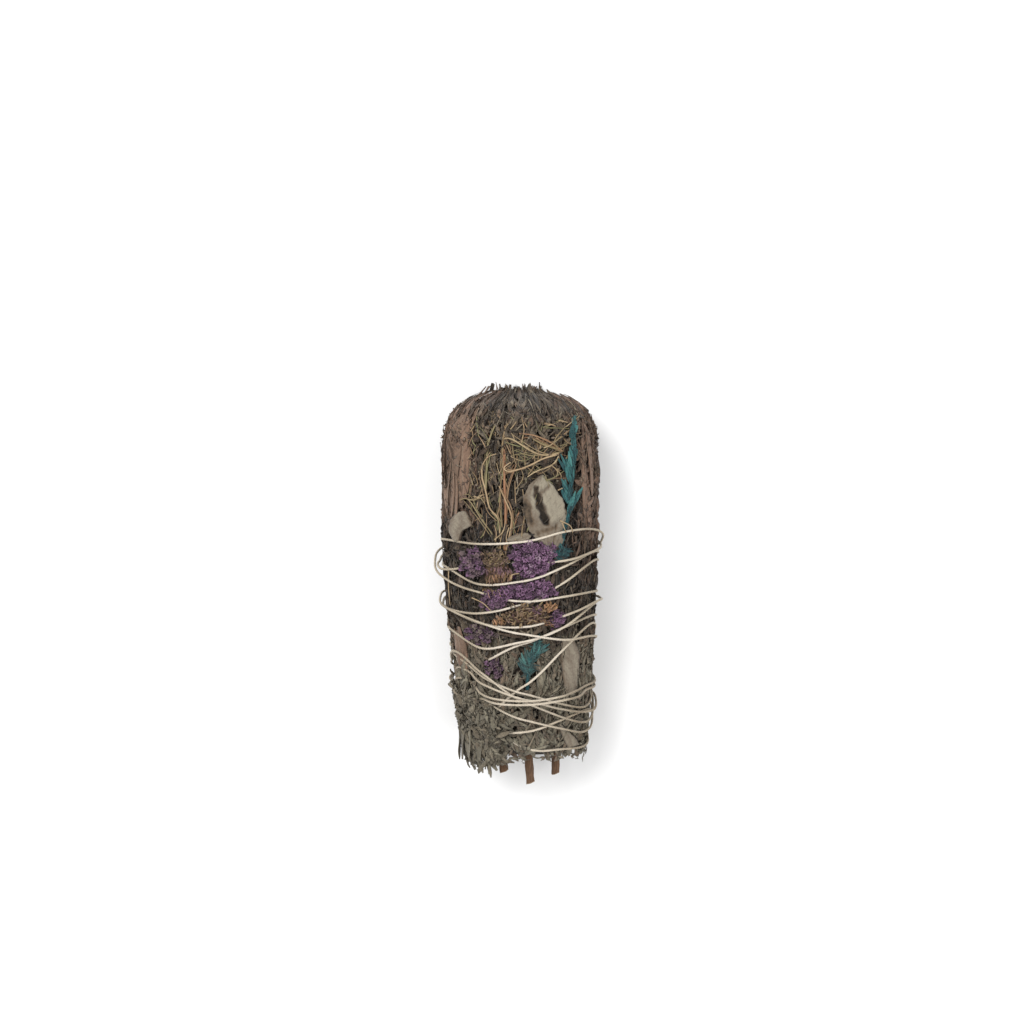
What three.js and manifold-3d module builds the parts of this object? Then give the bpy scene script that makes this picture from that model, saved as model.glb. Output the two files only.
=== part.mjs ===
// A dried herb bundle (smudge stick), lying on its back: six leafy sage sprigs pressed round
// their own woody stems, dressed on the front with pale sage leaves, statice, strawflowers,
// dyed larkspur and grass straws, and wound criss-cross with cotton string.
// Millimetres. +Y runs from the cut stems to the leafy top, +Z is the dressed front.
import * as THREE from "three";
import { mergeVertices } from "three/addons/utils/BufferGeometryUtils.js";
import Module from "manifold-3d";

const wasm = await Module();
wasm.setup();

// The bundle's own form.
const FATTEST_Y = 35; // the widest place, above the string
const HALF_WIDTH = 36;
const HEIGHT_SHARE = 0.84; // it lies a little flattened
const SQUARENESS = 2.3; // exponent of the section, 2 is an ellipse
const SINK_SHARE = 0.94; // how much of the lower half stays above the surface it lies on
const TOP_REACH = 60; // from the widest place to where the rounded top would close
const TOP_POWER = 6; // how abruptly it rounds off
const NECK_SHARE = 0.19; // keeps the leaf tips past the rounded end from meeting in a point
const BASE_Y = -80; // where the leaves end and the cut stems stand out
const CROWN_Y = 86; // where the sprigs' solid hearts end
const TAPER = 9; // the half width lost from the widest place to the base
const LEAN = 4; // how far the base drifts to the right
const LOBE_DEPTH = 0.02;
const SPRIG_NAMES = ["front", "front_left", "back_left", "back", "back_right", "front_right"];
const SECTOR = (2 * Math.PI) / SPRIG_NAMES.length;
const WHORL = 0.618; // share of its sector by which each leaf steps round from the last
const HEART_SHARE = 0.05; // the sprigs stop this far from the bundle's middle line
const GAP = 0.4; // clear space between neighbours
const HEART_REACH = 0.92; // of the skin, so that the leaves stand out over the hearts
const SPRIG_BLADES = 11;
const CROWN_BLADES = 4;
const BLADE_THICK = 1.3;

// Loose leaves of the lower left that lie over the string: [angle, y, length, up or down, flare].
const SKIRT_LEAVES = [
  [124, -58, 26, -1, 6],
  [135, -55, 28, -1, 6.5],
  [147, -54, 30, -1, 7.5],
  [158, -56, 28, -1, 8.5],
  [169, -60, 25, -1, 9],
  [163, -63, 28, 1, 7],
];

// The woody stems, one inside each sprig.
const STEM_RADIUS = 1.8;
const STEM_SHARE = 0.55; // how far out from the middle line they run
const STEM_TOP_Y = 40;
const STEM_ENDS_Y = [-95.5, -91, -93.5, -90, -94.5, -92];

// The string.
const STRING_RADIUS = 0.6;
const STRING_HEIGHT = 2.3; // of its centre over the sprigs' skin
const STRING_FLOOR = 0.95; // its centre where it passes underneath
const STRING_STEPS = 16; // straight pieces in a turn
const CROSSING_REACH = 1.6; // two strands closer than this ride over each other
const CROSSING_LIFT = 1.35;
const TURN_SAMPLES = 72; // places in a turn where crossings are looked for
const HUMP_FLAT = 4; // samples on each side of a crossing that keep the full lift
const HUMP_FADE = 5; // samples over which the lift then fades
const KNOT_RADIUS = 1.7;

// The string's passes in winding order, each as its heights at five places across the front from
// the left edge to the right one, and then its height where it crosses beneath.
const STRING_PASSES = [
  [-61, -66.5, -75.8, -76.5, -76.7, -72.5],
  [-69, -68.4, -66.7, -61.9, -58.4, -63.5],
  [-68, -59.4, -44.3, -27.8, -16.3, -25.5],
  [-37, -33.3, -24, -16.9, -12.4, -16],
  [-20, -26.6, -22.8, -16.4, -6.8, -9],
  [-9.9, -14.7, -15.9, -11.3, -5.4, -6.4],
  [-9, -9.8, -5.5, 4.3, 13.7, 11.5],
  [10.4, 4, 5.7, 12, 18.2, 14.2],
  [9.9, 13, 14.5, 14.9, 18.9, 21.5],
  [24, 22.9, 24.2, 28.5, 28.9, 17.5],
  [6.8, 0, -3.6, -2.1, -0.9, -3.8],
  [-8.4, -13.7, -18.8, -22.3, -22, -29],
  [-32.8, -40.8, -47.9, -53.9, -56.6, -42.5],
  [-29.5, -38.5, -51.8, -60.3, -64, -51],
  [-37.5, -43.4, -50.2, -56.3, -59, -54],
  [-47.5, -53.8, -61, -66, -69, -57],
  [-42.7, -49, -50.7, -48.7, -46, -45.5],
  [-51.4, -51.8, -52.3, -50.4, -47.9, -48.3],
];
const STRING_START = [-50.2, -56]; // heights of its first two places, before the first pass

// Where a strand is pressed down among the leaves or runs beneath a flower: its pass, the places
// that it is sunk between, counted from 0 at the left edge to 4 at the right one, and how deep.
const STRING_SUNK = [
  [0, -1, 1.7, 2.4],
  [1, -1, 1.3, 2.4],
  [2, -1, 1.2, 2.4],
  [3, -1, 0.8, 2.2],
  [5, 2.8, 3.0, 1.6],
  [6, 2.1, 2.6, 1.7],
  [8, 0.3, 2.8, 2.2],
  [10, 1.25, 1.4, 1.7],
  [12, -1, 0.4, 2.2],
  [13, -1, 0.4, 2.2],
  [14, -1, 0.5, 2.2],
  [15, -1, 0.6, 2.2],
  [16, -1, 0.4, 2.2],
  [17, -1, 0.7, 2.2],
];
const SUNK_FADE = 0.6; // of the way between two places
const PLACES_BENEATH = 5; // how many places of a turn keep the height beneath
const TURN_PLACES = 12; // 30 degrees apart
const START_ANGLE = (210 / 180) * Math.PI;

// What dresses the front. Places are [x, y], or [x, y, height over the skin] for a line's points.
const LEAF_THICK = 0.8;
const LEAF_WAVE = 0.3;
const CURLED_LEAF = {
  line: [[15, 19], [14.4, 30], [12, 43], [8.5, 56]],
  width: 21,
  height: 0.7,
  curl: 3.2,
};
const PALE_LEAVES = [
  { name: "pale_leaf_left", line: [[-28.2, 23.5], [-26.6, 31], [-25, 38]], width: 8, height: 1.4 },
  { name: "pale_leaf_upper", line: [[-6.5, 25.5], [-1, 26.5], [4.5, 27.5]], width: 5, height: 0.9 },
  { name: "pale_leaf_long", line: [[23, -49], [23, -36], [21, -24]], width: 6.5, height: 0.9 },
  { name: "pale_leaf_low", line: [[19, -64], [22, -69], [26, -75]], width: 6, height: 0.9 },
];
const STATICE = [
  { name: "statice_large", place: [6, 17], reach: [10.5, 9.5], florets: 15 },
  { name: "statice_middle", place: [3, 1.5], reach: [12, 5.5], florets: 11 },
  { name: "statice_left", place: [-21, 14], reach: [4.4, 6], florets: 8 },
  { name: "statice_centre_left", place: [-12, -3.5], reach: [5, 4.5], florets: 7 },
  { name: "statice_low_left", place: [-18, -20], reach: [6, 4.5], florets: 8 },
  { name: "statice_right", place: [17.2, -13], reach: [3.2, 4.5], florets: 6 },
  { name: "statice_low", place: [-11.5, -36], reach: [4, 4.5], florets: 6 },
];
const FLORET_LENGTH = 3.4;
const FLORET_RADIUS = 1.25;
const BLOOM_MARGIN = 2;
const GOLDEN_ANGLE = Math.PI * (3 - Math.sqrt(5));
const STRAWFLOWERS = [
  { name: "strawflower_upper", place: [-11, 9.5], reach: [8, 8.5], bracts: [8, 5] },
  { name: "strawflower_lower", place: [4, -10.5], reach: [12, 5.8], bracts: [10, 5] },
];

// A larkspur's bracts are each the share of the stem below its root, and the place of its tip.
// spread is half the width of the room that the spike needs, beyond its length past the stem.
const UPPER_LARKSPUR = {
  stem: [[16.4, 15.5, 0], [18.9, 24.5, 0.2], [22.2, 36.4, 0.7], [23.4, 54.5, 1.2], [23.6, 77, 2]],
  bracts: [
    [0.78, 21.6, 68.5],
    [0.79, 25.5, 69.5],
    [0.84, 23.7, 74.5],
    [0.9, 22.3, 78.5],
    [0.92, 25.1, 80],
    [0.75, 18.4, 65.3],
    [0.63, 18, 54.5],
    [0.55, 27.5, 50.5],
  ],
  spread: 6.6,
  beyond: 12,
};
const LOWER_LARKSPUR = {
  stem: [[3.4, -47, 0], [3.6, -40, 0.2], [4.4, -31, 0.6], [8, -21, 0.8]],
  bracts: [
    [0.36, -1.6, -31],
    [0.4, 0.5, -28],
    [0.45, 3, -25.5],
    [0.5, 6.5, -24],
    [0.62, 10, -22.5],
    [0.7, 12.8, -22.8],
  ],
  spread: 8.4,
  beyond: 8.5,
};
const BRACT_WIDTH = 3.4;
const BRACT_RISE = 1;
const STRAW_RADIUS = 0.55;
const STRAW_FAN = [
  [[19.4, 65.5, 0.8], [8.6, 64.7, 2.2], [-3.4, 71.6, 2.6], [-7.1, 71.9, 2.4]],
  [[20, 66, 1], [10.4, 69.2, 2.4], [5.6, 71.9, 3.2]],
  [[19.4, 66, 1.2], [14, 70, 2], [6.2, 73.4, 2.2], [-0.5, 74.3, 2]],
  [[19, 65, 1], [15.2, 70.7, 3], [20, 77.6, 3.6]],
  [[19.4, 65, 1], [10.4, 62.9, 2.6], [4.4, 59.9, 3.2], [-2.2, 57.5, 3.2], [-5.8, 57.2, 3.4],
    [-7, 58.7, 3.6], [-5.2, 60.5, 3.4], [-4.1, 61.1, 3.2]],
  [[18, 65.5, 1], [6.2, 64.2, 2], [0.8, 65.1, 2.2], [-4, 64.2, 2]],
  [[18.5, 65.5, 0.8], [16, 61.5, 2.4], [12.8, 59.3, 3.2], [6.8, 56.9, 3], [3.2, 54.5, 2.6]],
  [[14, 59.6, 2.8], [17.6, 56.3, 2.6], [18.8, 53.9, 2]],
];
const STRAW_BUNCH = [
  [[-7, 20, -0.3], [-6.5, 37, 1.6], [-6.8, 48.5, 2.2], [-7.2, 60, 2], [-7, 67, 1.6]],
  [[-6.5, 20, -0.3], [-3.8, 34.6, 2.2], [-6.5, 43.6, 2.8], [-9.4, 50.3, 2.8]],
  [[-7.5, 20, -0.3], [-6, 36, 0.9], [-5.2, 48.4, 2.8], [-1.7, 60.5, 3.2]],
  [[-7.2, 20, -0.3], [-8.6, 35, 1.2], [-9.2, 44, 1.6], [-8.2, 56, 1.2], [-7.6, 72.5, 2.2],
    [-5.2, 79.2, 2.6]],
  [[-6.8, 20, -0.3], [-3, 31, 0.8], [-0.5, 38, 1.8]],
];
const STRAW_LOOP = [
  [[-9.2, 20, -0.3], [-9.4, 30.5, 1.2], [-10.4, 35.8, 1.8], [-13.7, 40, 2.4], [-15.5, 48.4, 2.8],
    [-17, 54.5, 2.8], [-16.7, 59.9, 2.6], [-14.3, 63.5, 2.4], [-10.7, 65, 2]],
  [[-9.8, 20, -0.3], [-12.5, 27, 0.8], [-17.9, 34.6, 1.6], [-23.3, 43.4, 2.2], [-26.9, 43, 2]],
  [[-23.3, 43.4, 2.2], [-19.7, 43.6, 2.6], [-18.5, 45.4, 2.8], [-16, 46, 2.4]],
  [[-15.5, 48.4, 2.4], [-14.9, 66.5, 1.6], [-13.7, 71.9, 2], [-11.3, 77.9, 2.4]],
];

const COLOURS = {
  sage: 0x6f6a58,
  stem: 0x7d6248,
  paleLeaf: 0xb5ab92,
  statice: 0x6b4078,
  strawflower: 0x8a6242,
  larkspur: 0x1f6266,
  grass: 0xa08c66,
  string: 0xd9cfb8,
};

const group = new THREE.Group();

// How far down the taper a height lies: 0 at the widest place, 1 at the base.
const down = (y) => Math.max(0, (FATTEST_Y - y) / (FATTEST_Y - BASE_Y));

// Half the bundle's width at a height: it tapers to the stems and rounds off at the top.
function halfWidth(y) {
  if (y < FATTEST_Y) return HALF_WIDTH - TAPER * down(y) ** 1.8;
  const up = (y - FATTEST_Y) / TOP_REACH;
  return HALF_WIDTH * Math.sqrt(Math.max(NECK_SHARE, 1 - up ** TOP_POWER));
}

const centreX = (y) => LEAN * down(y) ** 2;
const centreZ = (y) => SINK_SHARE * HEIGHT_SHARE * halfWidth(y);
const signedPower = (value, power) => Math.sign(value) * Math.abs(value) ** power;

// The point at height h over the bundle's skin. phi is 90 degrees at the front, 0 at the right.
function skin(phi, y, h, share = 1) {
  const lobe = 1 + LOBE_DEPTH * Math.cos(SPRIG_NAMES.length * (phi - Math.PI / 2));
  const reach = halfWidth(y) * lobe * share;
  const power = 2 / SQUARENESS;
  const c = Math.cos(phi);
  const s = Math.sin(phi);
  const outward = new THREE.Vector3(
    signedPower(c, 2 - power),
    0,
    signedPower(s, 2 - power) / HEIGHT_SHARE,
  ).normalize();
  const middle = new THREE.Vector3(centreX(y), y, centreZ(y));
  const radial = new THREE.Vector3(signedPower(c, power), 0, HEIGHT_SHARE * signedPower(s, power));
  return middle.addScaledVector(radial, reach).addScaledVector(outward, h);
}

// A place on the front at height h over the skin, x and y as seen from above.
function front(x, y, h) {
  const share = THREE.MathUtils.clamp((x - centreX(y)) / halfWidth(y), -0.99, 0.99);
  return skin(Math.acos(signedPower(share, SQUARENESS / 2)), y, h);
}

// A repeatable random number from 0 to 1.
function draws(seed) {
  let state = seed;
  return () => {
    state = (state * 1664525 + 1013904223) % 4294967296;
    return state / 4294967296;
  };
}

// A closed three.js geometry as a solid, each of its points moved by a function.
function solid(geometry, move = (p) => p) {
  geometry.deleteAttribute("normal");
  geometry.deleteAttribute("uv");
  const whole = mergeVertices(geometry, 1e-4);
  const at = whole.getAttribute("position");
  for (let i = 0; i < at.count; i++) {
    const q = move(new THREE.Vector3().fromBufferAttribute(at, i));
    at.setXYZ(i, q.x, q.y, q.z);
  }
  const vertProperties = new Float32Array(at.array);
  const triVerts = new Uint32Array(whole.index.array);
  const made = new wasm.Manifold(new wasm.Mesh({ numProp: 3, vertProperties, triVerts }));
  if (made.volume() > 0) return made;
  triVerts.reverse();
  return new wasm.Manifold(new wasm.Mesh({ numProp: 3, vertProperties, triVerts }));
}

const joined = (solids) => wasm.Manifold.union(solids);

// The largest body of a solid: what a cut leaves as loose scraps is dropped.
function largest(body) {
  return body.decompose().reduce((a, b) => (a.volume() > b.volume() ? a : b));
}

function addNode(name, body, colour, roughness = 0.9) {
  const { vertProperties, triVerts } = body.getMesh();
  const geometry = new THREE.BufferGeometry();
  geometry.setAttribute("position", new THREE.BufferAttribute(vertProperties, 3));
  geometry.setIndex(new THREE.BufferAttribute(triVerts, 1));
  const material = new THREE.MeshStandardMaterial({ color: colour, roughness, metalness: 0 });
  const mesh = new THREE.Mesh(geometry, material);
  mesh.name = name;
  group.add(mesh);
}

// A round rod through a list of points.
function rod(points, radius, sides, steps) {
  const section = new THREE.Shape();
  section.absarc(0, 0, radius, 0, 2 * Math.PI);
  const extrudePath = new THREE.CatmullRomCurve3(points, false, "centripetal");
  extrudePath.arcLengthDivisions = steps * 4;
  const options = { steps, extrudePath, curveSegments: sides / 2, bevelEnabled: false };
  return solid(new THREE.ExtrudeGeometry(section, options));
}

// A leaf blade, a long three-sided spindle. place turns the way along it, the offset sideways and
// the height over its middle into a point.
function blade(length, width, thick, place) {
  return solid(new THREE.ConeGeometry(1, 1, 3, 2), (p) => {
    const s = p.y + 0.5;
    if (s > 0.99) return place(length, 0, 0);
    const outline = Math.sin(Math.PI * (0.16 + 0.8 * s));
    const across = (p.x / (1 - s)) * 0.58 * width * outline;
    const over = (p.z / (1 - s)) * thick * 0.67 * (1 - 0.4 * s);
    return place(s * length, across, over);
  });
}

// A blade lying on the skin of a sprig, from its sunk root to its tip, swung sideways by turn.
function sprigBlade({ phi, y, length, width, turn, root, tip }) {
  return blade(length, width, BLADE_THICK, (along, across, over) => {
    const u = along * Math.sin(turn) + across * Math.cos(turn);
    const v = along * Math.cos(turn) - across * Math.sin(turn);
    const rise = root + (tip - root) * (along / length) ** 0.7;
    return skin(phi - u / halfWidth(y), y + v, rise + over);
  });
}

// A loose leaf on a thin stalk that comes out between two strands and arches over the others.
function skirtLeaf([degrees, y, length, way, flare]) {
  const stalk = 0.25;
  return solid(new THREE.ConeGeometry(1, 1, 3, 4), (p) => {
    const s = p.y + 0.5;
    const ring = Math.max(1 - s, 0.01);
    const across = (p.x / ring) * 5.5 * Math.sin(Math.PI * (0.07 + 0.9 * s)) * (s < 0.99);
    const over = (p.z / ring) * BLADE_THICK * 0.67 * (1 - 0.4 * s) * (s < 0.99);
    const clear = STRING_HEIGHT + CROSSING_LIFT + 1.9;
    const arch = THREE.MathUtils.lerp(-3.4, clear, Math.min(1, s / stalk));
    const rise = arch + (flare - clear) * THREE.MathUtils.smoothstep(s, stalk, 1);
    const phi = THREE.MathUtils.degToRad(degrees) - across / halfWidth(y);
    return skin(phi, y + way * s * length, rise + over);
  });
}

// A blade on the front from a point, heading by angle from +X, its height rising to tip.
function frontBlade([x, y, h], heading, length, width, tip) {
  return blade(length, width, 1.1, (along, across, over) => {
    const dx = along * Math.cos(heading) - across * Math.sin(heading);
    const dy = along * Math.sin(heading) + across * Math.cos(heading);
    return front(x + dx, y + dy, h + (tip - h) * (along / length) + over);
  });
}

// A low mound on the front, between two heights over the skin.
function mound([x, y], [reachX, reachY], low, high) {
  return solid(new THREE.SphereGeometry(1, 8, 4), (p) => {
    const h = (low + high) / 2 + (p.y * (high - low)) / 2;
    return front(x + p.x * reachX, y + p.z * reachY, h);
  });
}

// A block of the bundle, one sprig wide, between two heights and two shares of its reach. Its
// sides stand half a gap inside those of the sprig.
function sector(angle, [yLow, yHigh], inner, outer) {
  return solid(new THREE.BoxGeometry(1, 1, 1, 4, 8, 1), (p) => {
    const phi = angle - p.x * SECTOR;
    const y = yLow + (yHigh - yLow) * (1 - (0.5 - p.y) ** 1.4);
    const middle = new THREE.Vector3(centreX(y), y, centreZ(y));
    const radial = skin(phi, y, 0).sub(middle);
    const aside = new THREE.Vector3(-radial.z, 0, radial.x).normalize();
    const inward = Math.abs(p.x) > 0.49 ? Math.sign(p.x) * (GAP / 2) : 0;
    const share = p.z > 0 ? outer(phi, p.y) : inner;
    return middle.addScaledVector(radial, share).addScaledVector(aside, inward);
  });
}

// The hearts' reach: under the leaves, but full where the bundle lies, and rounded at both ends.
function heartReach(phi, along) {
  const lying = THREE.MathUtils.smoothstep(-Math.sin(phi), 0.5, 0.9);
  const rounded = THREE.MathUtils.smoothstep(Math.abs(along), 0.42, 0.5) * (along < 0 ? 0.16 : 0.1);
  return THREE.MathUtils.lerp(HEART_REACH, 1, lying) - rounded;
}

const sprigAngle = (i) => Math.PI / 2 + i * SECTOR;

// The woody stem of a sprig, running up inside it from its cut end.
function sprigStem(i, grow) {
  const heights = [STEM_ENDS_Y[i], BASE_Y, -40, 0, STEM_TOP_Y];
  const points = heights.map((y) => skin(sprigAngle(i), y, 0, STEM_SHARE));
  if (grow) points[4].y += GAP;
  return rod(points, STEM_RADIUS + grow, 6, 7);
}

// A leafy sprig: its pressed heart, blades lying up it and a looser tuft at its crown.
function sprig(i) {
  const random = draws(101 + 17 * i);
  const angle = sprigAngle(i);
  const parts = [sector(angle, [BASE_Y, CROWN_Y], HEART_SHARE, heartReach)];
  for (let k = 0; k < SPRIG_BLADES; k++) {
    const y = BASE_Y - 5 + ((k + random() * 0.6) / SPRIG_BLADES) * (CROWN_Y - 16 - BASE_Y);
    const phi = angle + SECTOR * 0.86 * (((k * WHORL) % 1) - 0.5);
    const loose = THREE.MathUtils.smoothstep(y, 26, 50);
    const leaf = {
      phi,
      y,
      length: 22 + 9 * random(),
      width: 9 + 3 * random(),
      turn: (random() - 0.5) * (0.7 + 0.4 * loose),
      root: -3.2,
      tip: 0.4 + loose * (0.5 + 3 * random()),
    };
    if (skin(phi, y, 0).z > 1) parts.push(sprigBlade(leaf));
  }
  for (let k = 0; k < CROWN_BLADES; k++) {
    const depth = -2.5 - 3.6 * k;
    parts.push(
      sprigBlade({
        phi: angle + SECTOR * 0.6 * (((k * WHORL) % 1) - 0.5),
        y: 73 + 4 * random(),
        length: 17 + 3.5 * random(),
        width: 8 + 3 * random(),
        turn: (random() - 0.5) * 0.5,
        root: depth - 1,
        tip: depth + 2,
      }),
    );
  }
  const room = sector(angle, [BASE_Y - 16, CROWN_Y + 14], 0.02, () => 1.8);
  const whole = joined(parts).intersect(room).intersect(ABOVE_SURFACE);
  if (SPRIG_NAMES[i] !== "front_left") return whole.subtract(sprigStem(i, GAP));
  return whole.add(joined(SKIRT_LEAVES.map(skirtLeaf))).subtract(sprigStem(i, GAP));
}

const ABOVE_SURFACE = solid(new THREE.BoxGeometry(200, 300, 200), (p) => {
  p.z += 100;
  return p;
});

// How deep the string is sunk at a place, counted from the first one of its first pass.
function sunkDepth(place) {
  const depths = STRING_SUNK.map(([pass, from, to, depth]) => {
    const along = place - pass * TURN_PLACES;
    const entering = THREE.MathUtils.smoothstep(along, from - SUNK_FADE, from);
    return depth * entering * (1 - THREE.MathUtils.smoothstep(along, to, to + SUNK_FADE));
  });
  return Math.max(...depths);
}

// The string's places round the bundle, with the lift that each crossing asks for: where a later
// strand passes close to an earlier one it rides over it on a flat hump that fades both ways.
function stringRoute() {
  const heights = STRING_PASSES.flatMap((pass, i) => {
    const across = pass.slice(0, 5);
    const beneath = pass[5];
    const next = STRING_PASSES[i + 1];
    const arrival = [(pass[4] + beneath) / 2, ...Array(PLACES_BENEATH).fill(beneath)];
    return [...across, ...arrival, ...(next ? [(beneath + next[0]) / 2] : [])];
  });
  const knots = [...STRING_START, ...heights].map((y, i) => new THREE.Vector2(i, y));
  const curve = new THREE.SplineCurve(knots);
  const count = (knots.length - 1) * (TURN_SAMPLES / TURN_PLACES);
  const samples = Array.from({ length: count + 1 }, (_, i) => ({
    phi: START_ANGLE - (i / TURN_SAMPLES) * 2 * Math.PI,
    y: curve.getPoint(i / count).y,
  }));
  samples.forEach((sample, i) => {
    sample.depth = sunkDepth((i * TURN_PLACES) / TURN_SAMPLES - STRING_START.length);
  });
  const place = ({ phi, y, depth }, lift) => {
    const p = skin(phi, y, STRING_HEIGHT - depth + lift);
    p.z = Math.max(p.z, STRING_FLOOR + lift);
    return p;
  };
  const low = samples.map((sample) => place(sample, 0));
  const lifts = samples.map(() => 0);
  const reach = HUMP_FLAT + HUMP_FADE;
  for (let i = TURN_SAMPLES / 2; i < samples.length; i++) {
    for (let j = 0; j < i - TURN_SAMPLES / 2; j++) {
      if (low[i].distanceTo(low[j]) > CROSSING_REACH) continue;
      const full = lifts[j] + CROSSING_LIFT + samples[i].depth - samples[j].depth;
      for (let k = -reach; k <= reach; k++) {
        const fade = THREE.MathUtils.smoothstep(reach - Math.abs(k), 0, HUMP_FADE);
        if (lifts[i + k] !== undefined) lifts[i + k] = Math.max(lifts[i + k], full * fade);
      }
    }
  }
  return samples.map((sample, i) => place(sample, lifts[i]));
}

const stringPath = stringRoute();

function cottonString(grow) {
  const turns = STRING_PASSES.length;
  return rod(stringPath, STRING_RADIUS + grow, 4, Math.round(turns * STRING_STEPS));
}

// The knot that ties the string's two ends.
function stringKnot(grow) {
  const middle = skin(START_ANGLE, STRING_START[0] + 1, STRING_HEIGHT - 0.3);
  return solid(new THREE.SphereGeometry(KNOT_RADIUS + grow, 6, 4)).translate(middle.toArray());
}

// A flat leaf along a line of [x, y] places on the front, narrowed at both ends. It waves a
// little past its middle, and curl lifts its left margin there.
function paleLeaf({ line, width, height, curl = 0 }, grow = 0) {
  const points = line.map(([x, y]) => new THREE.Vector2(x, y));
  const middle = new THREE.SplineCurve(points);
  return solid(new THREE.BoxGeometry(1, 1, 1, 4, 7, 1), (p) => {
    const s = p.y + 0.5;
    const at = middle.getPoint(s);
    const aside = middle.getTangent(s).rotateAround(new THREE.Vector2(), -Math.PI / 2);
    const outline = width * Math.sin(Math.PI * (0.1 + 0.8 * s)) ** 0.8;
    at.addScaledVector(aside, p.x * (outline + 2 * grow));
    const free = THREE.MathUtils.smoothstep(s, 0.35, 0.7);
    const lifted = curl * Math.max(0, -2 * p.x) ** 2 + LEAF_WAVE * Math.sin(9 * s + 3 * p.x);
    return front(at.x, at.y, height + free * lifted + p.z * (LEAF_THICK + 2 * grow));
  });
}

// The curled leaf's margins have parted along a slit.
function curledLeaf() {
  const slit = frontBlade([12.2, 31.5, 1], 1.86, 18.5, 3.8, 1);
  const deep = slit.add(slit.translate([0, 0, 2])).add(slit.translate([0, 0, -1]));
  return paleLeaf(CURLED_LEAF).subtract(deep);
}

// A head of statice: a low core set all over with papery funnels.
function statice({ place, reach, florets }) {
  const parts = [mound(place, reach.map((r) => r * 0.85), -2.4, 2.2)];
  for (let k = 0; k < florets; k++) {
    const out = Math.sqrt((k + 0.5) / florets);
    const turn = k * GOLDEN_ANGLE;
    const dx = Math.cos(turn) * out;
    const dy = Math.sin(turn) * out;
    const root = [place[0] + 0.72 * reach[0] * dx, place[1] + 0.72 * reach[1] * dy];
    parts.push(
      solid(new THREE.ConeGeometry(1, 1, 4, 1), (p) => {
        const s = 0.5 - p.y;
        const along = s * FLORET_LENGTH;
        const x = root[0] + 0.55 * along * dx + p.x * FLORET_RADIUS;
        const y = root[1] + 0.55 * along * dy + p.z * FLORET_RADIUS;
        return front(x, y, 1.4 - 0.9 * out + along * (1 - 0.35 * out));
      }),
    );
  }
  return joined(parts);
}

// A dried strawflower: a low disc in rings of stiff bracts, the inner ones standing steeper.
function strawflower({ place, reach, bracts }) {
  const parts = [mound(place, reach.map((r) => r * 0.62), -2.4, 2.6)];
  bracts.forEach((count, ring) => {
    for (let k = 0; k < count; k++) {
      const turn = ((k + 0.5 * ring) / count) * 2 * Math.PI;
      const inner = 0.42 - 0.14 * ring;
      const x = place[0] + inner * reach[0] * Math.cos(turn);
      const y = place[1] + inner * reach[1] * Math.sin(turn);
      const dx = reach[0] * Math.cos(turn);
      const dy = reach[1] * Math.sin(turn);
      const length = Math.hypot(dx, dy) * (0.62 - 0.12 * ring);
      parts.push(frontBlade([x, y, 0.9 + ring], Math.atan2(dy, dx), length, 2.8, 1.8 + 1.7 * ring));
    }
  });
  return joined(parts);
}

// A dyed larkspur spike: a stem with long pointed bracts lying up it on both sides.
function larkspur({ stem, bracts }) {
  const parts = [rod(stem.map((p) => front(...p)), 0.8, 4, 8)];
  const line = new THREE.CatmullRomCurve3(stem.map((p) => new THREE.Vector3(...p)));
  for (const [share, tipX, tipY] of bracts) {
    const at = line.getPoint(share);
    const heading = Math.atan2(tipY - at.y, tipX - at.x);
    const length = Math.hypot(tipY - at.y, tipX - at.x);
    parts.push(frontBlade([at.x, at.y, at.z], heading, length, BRACT_WIDTH, at.z + BRACT_RISE));
  }
  return joined(parts);
}

// Grass straws that meet at their roots, each along its own line of [x, y, height] places.
function straws(lines, grow = 0) {
  return joined(
    lines.map((line) => rod(line.map((p) => front(...p)), STRAW_RADIUS + grow, 4, line.length)),
  );
}

// The room that a bloom takes up: a straight-sided well down to the sprigs' hearts.
function bloomRoom({ place: [x, y], reach: [reachX, reachY] }) {
  return solid(new THREE.CylinderGeometry(1, 1, 1, 8), (p) =>
    front(x + p.x * (reachX + BLOOM_MARGIN), y + p.z * (reachY + BLOOM_MARGIN), p.y > 0 ? 9 : -2.8),
  );
}

// The room that a spike takes up, from its root to its tip.
function larkspurRoom({ stem, spread, beyond }) {
  const line = stem.map(([x, y]) => new THREE.Vector2(x, y));
  const middle = new THREE.SplineCurve(line);
  return solid(new THREE.BoxGeometry(1, 1, 1, 2, 6, 1), (p) => {
    const at = middle.getPoint(p.y + 0.5);
    const ahead = middle.getTangent(p.y + 0.5);
    at.addScaledVector(ahead, p.y * 2 * (p.y > 0.49 ? beyond : 1));
    at.addScaledVector(ahead.rotateAround(new THREE.Vector2(), -Math.PI / 2), 2 * p.x * spread);
    return front(at.x, at.y, p.z > 0 ? 8 : -1.4);
  });
}

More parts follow.
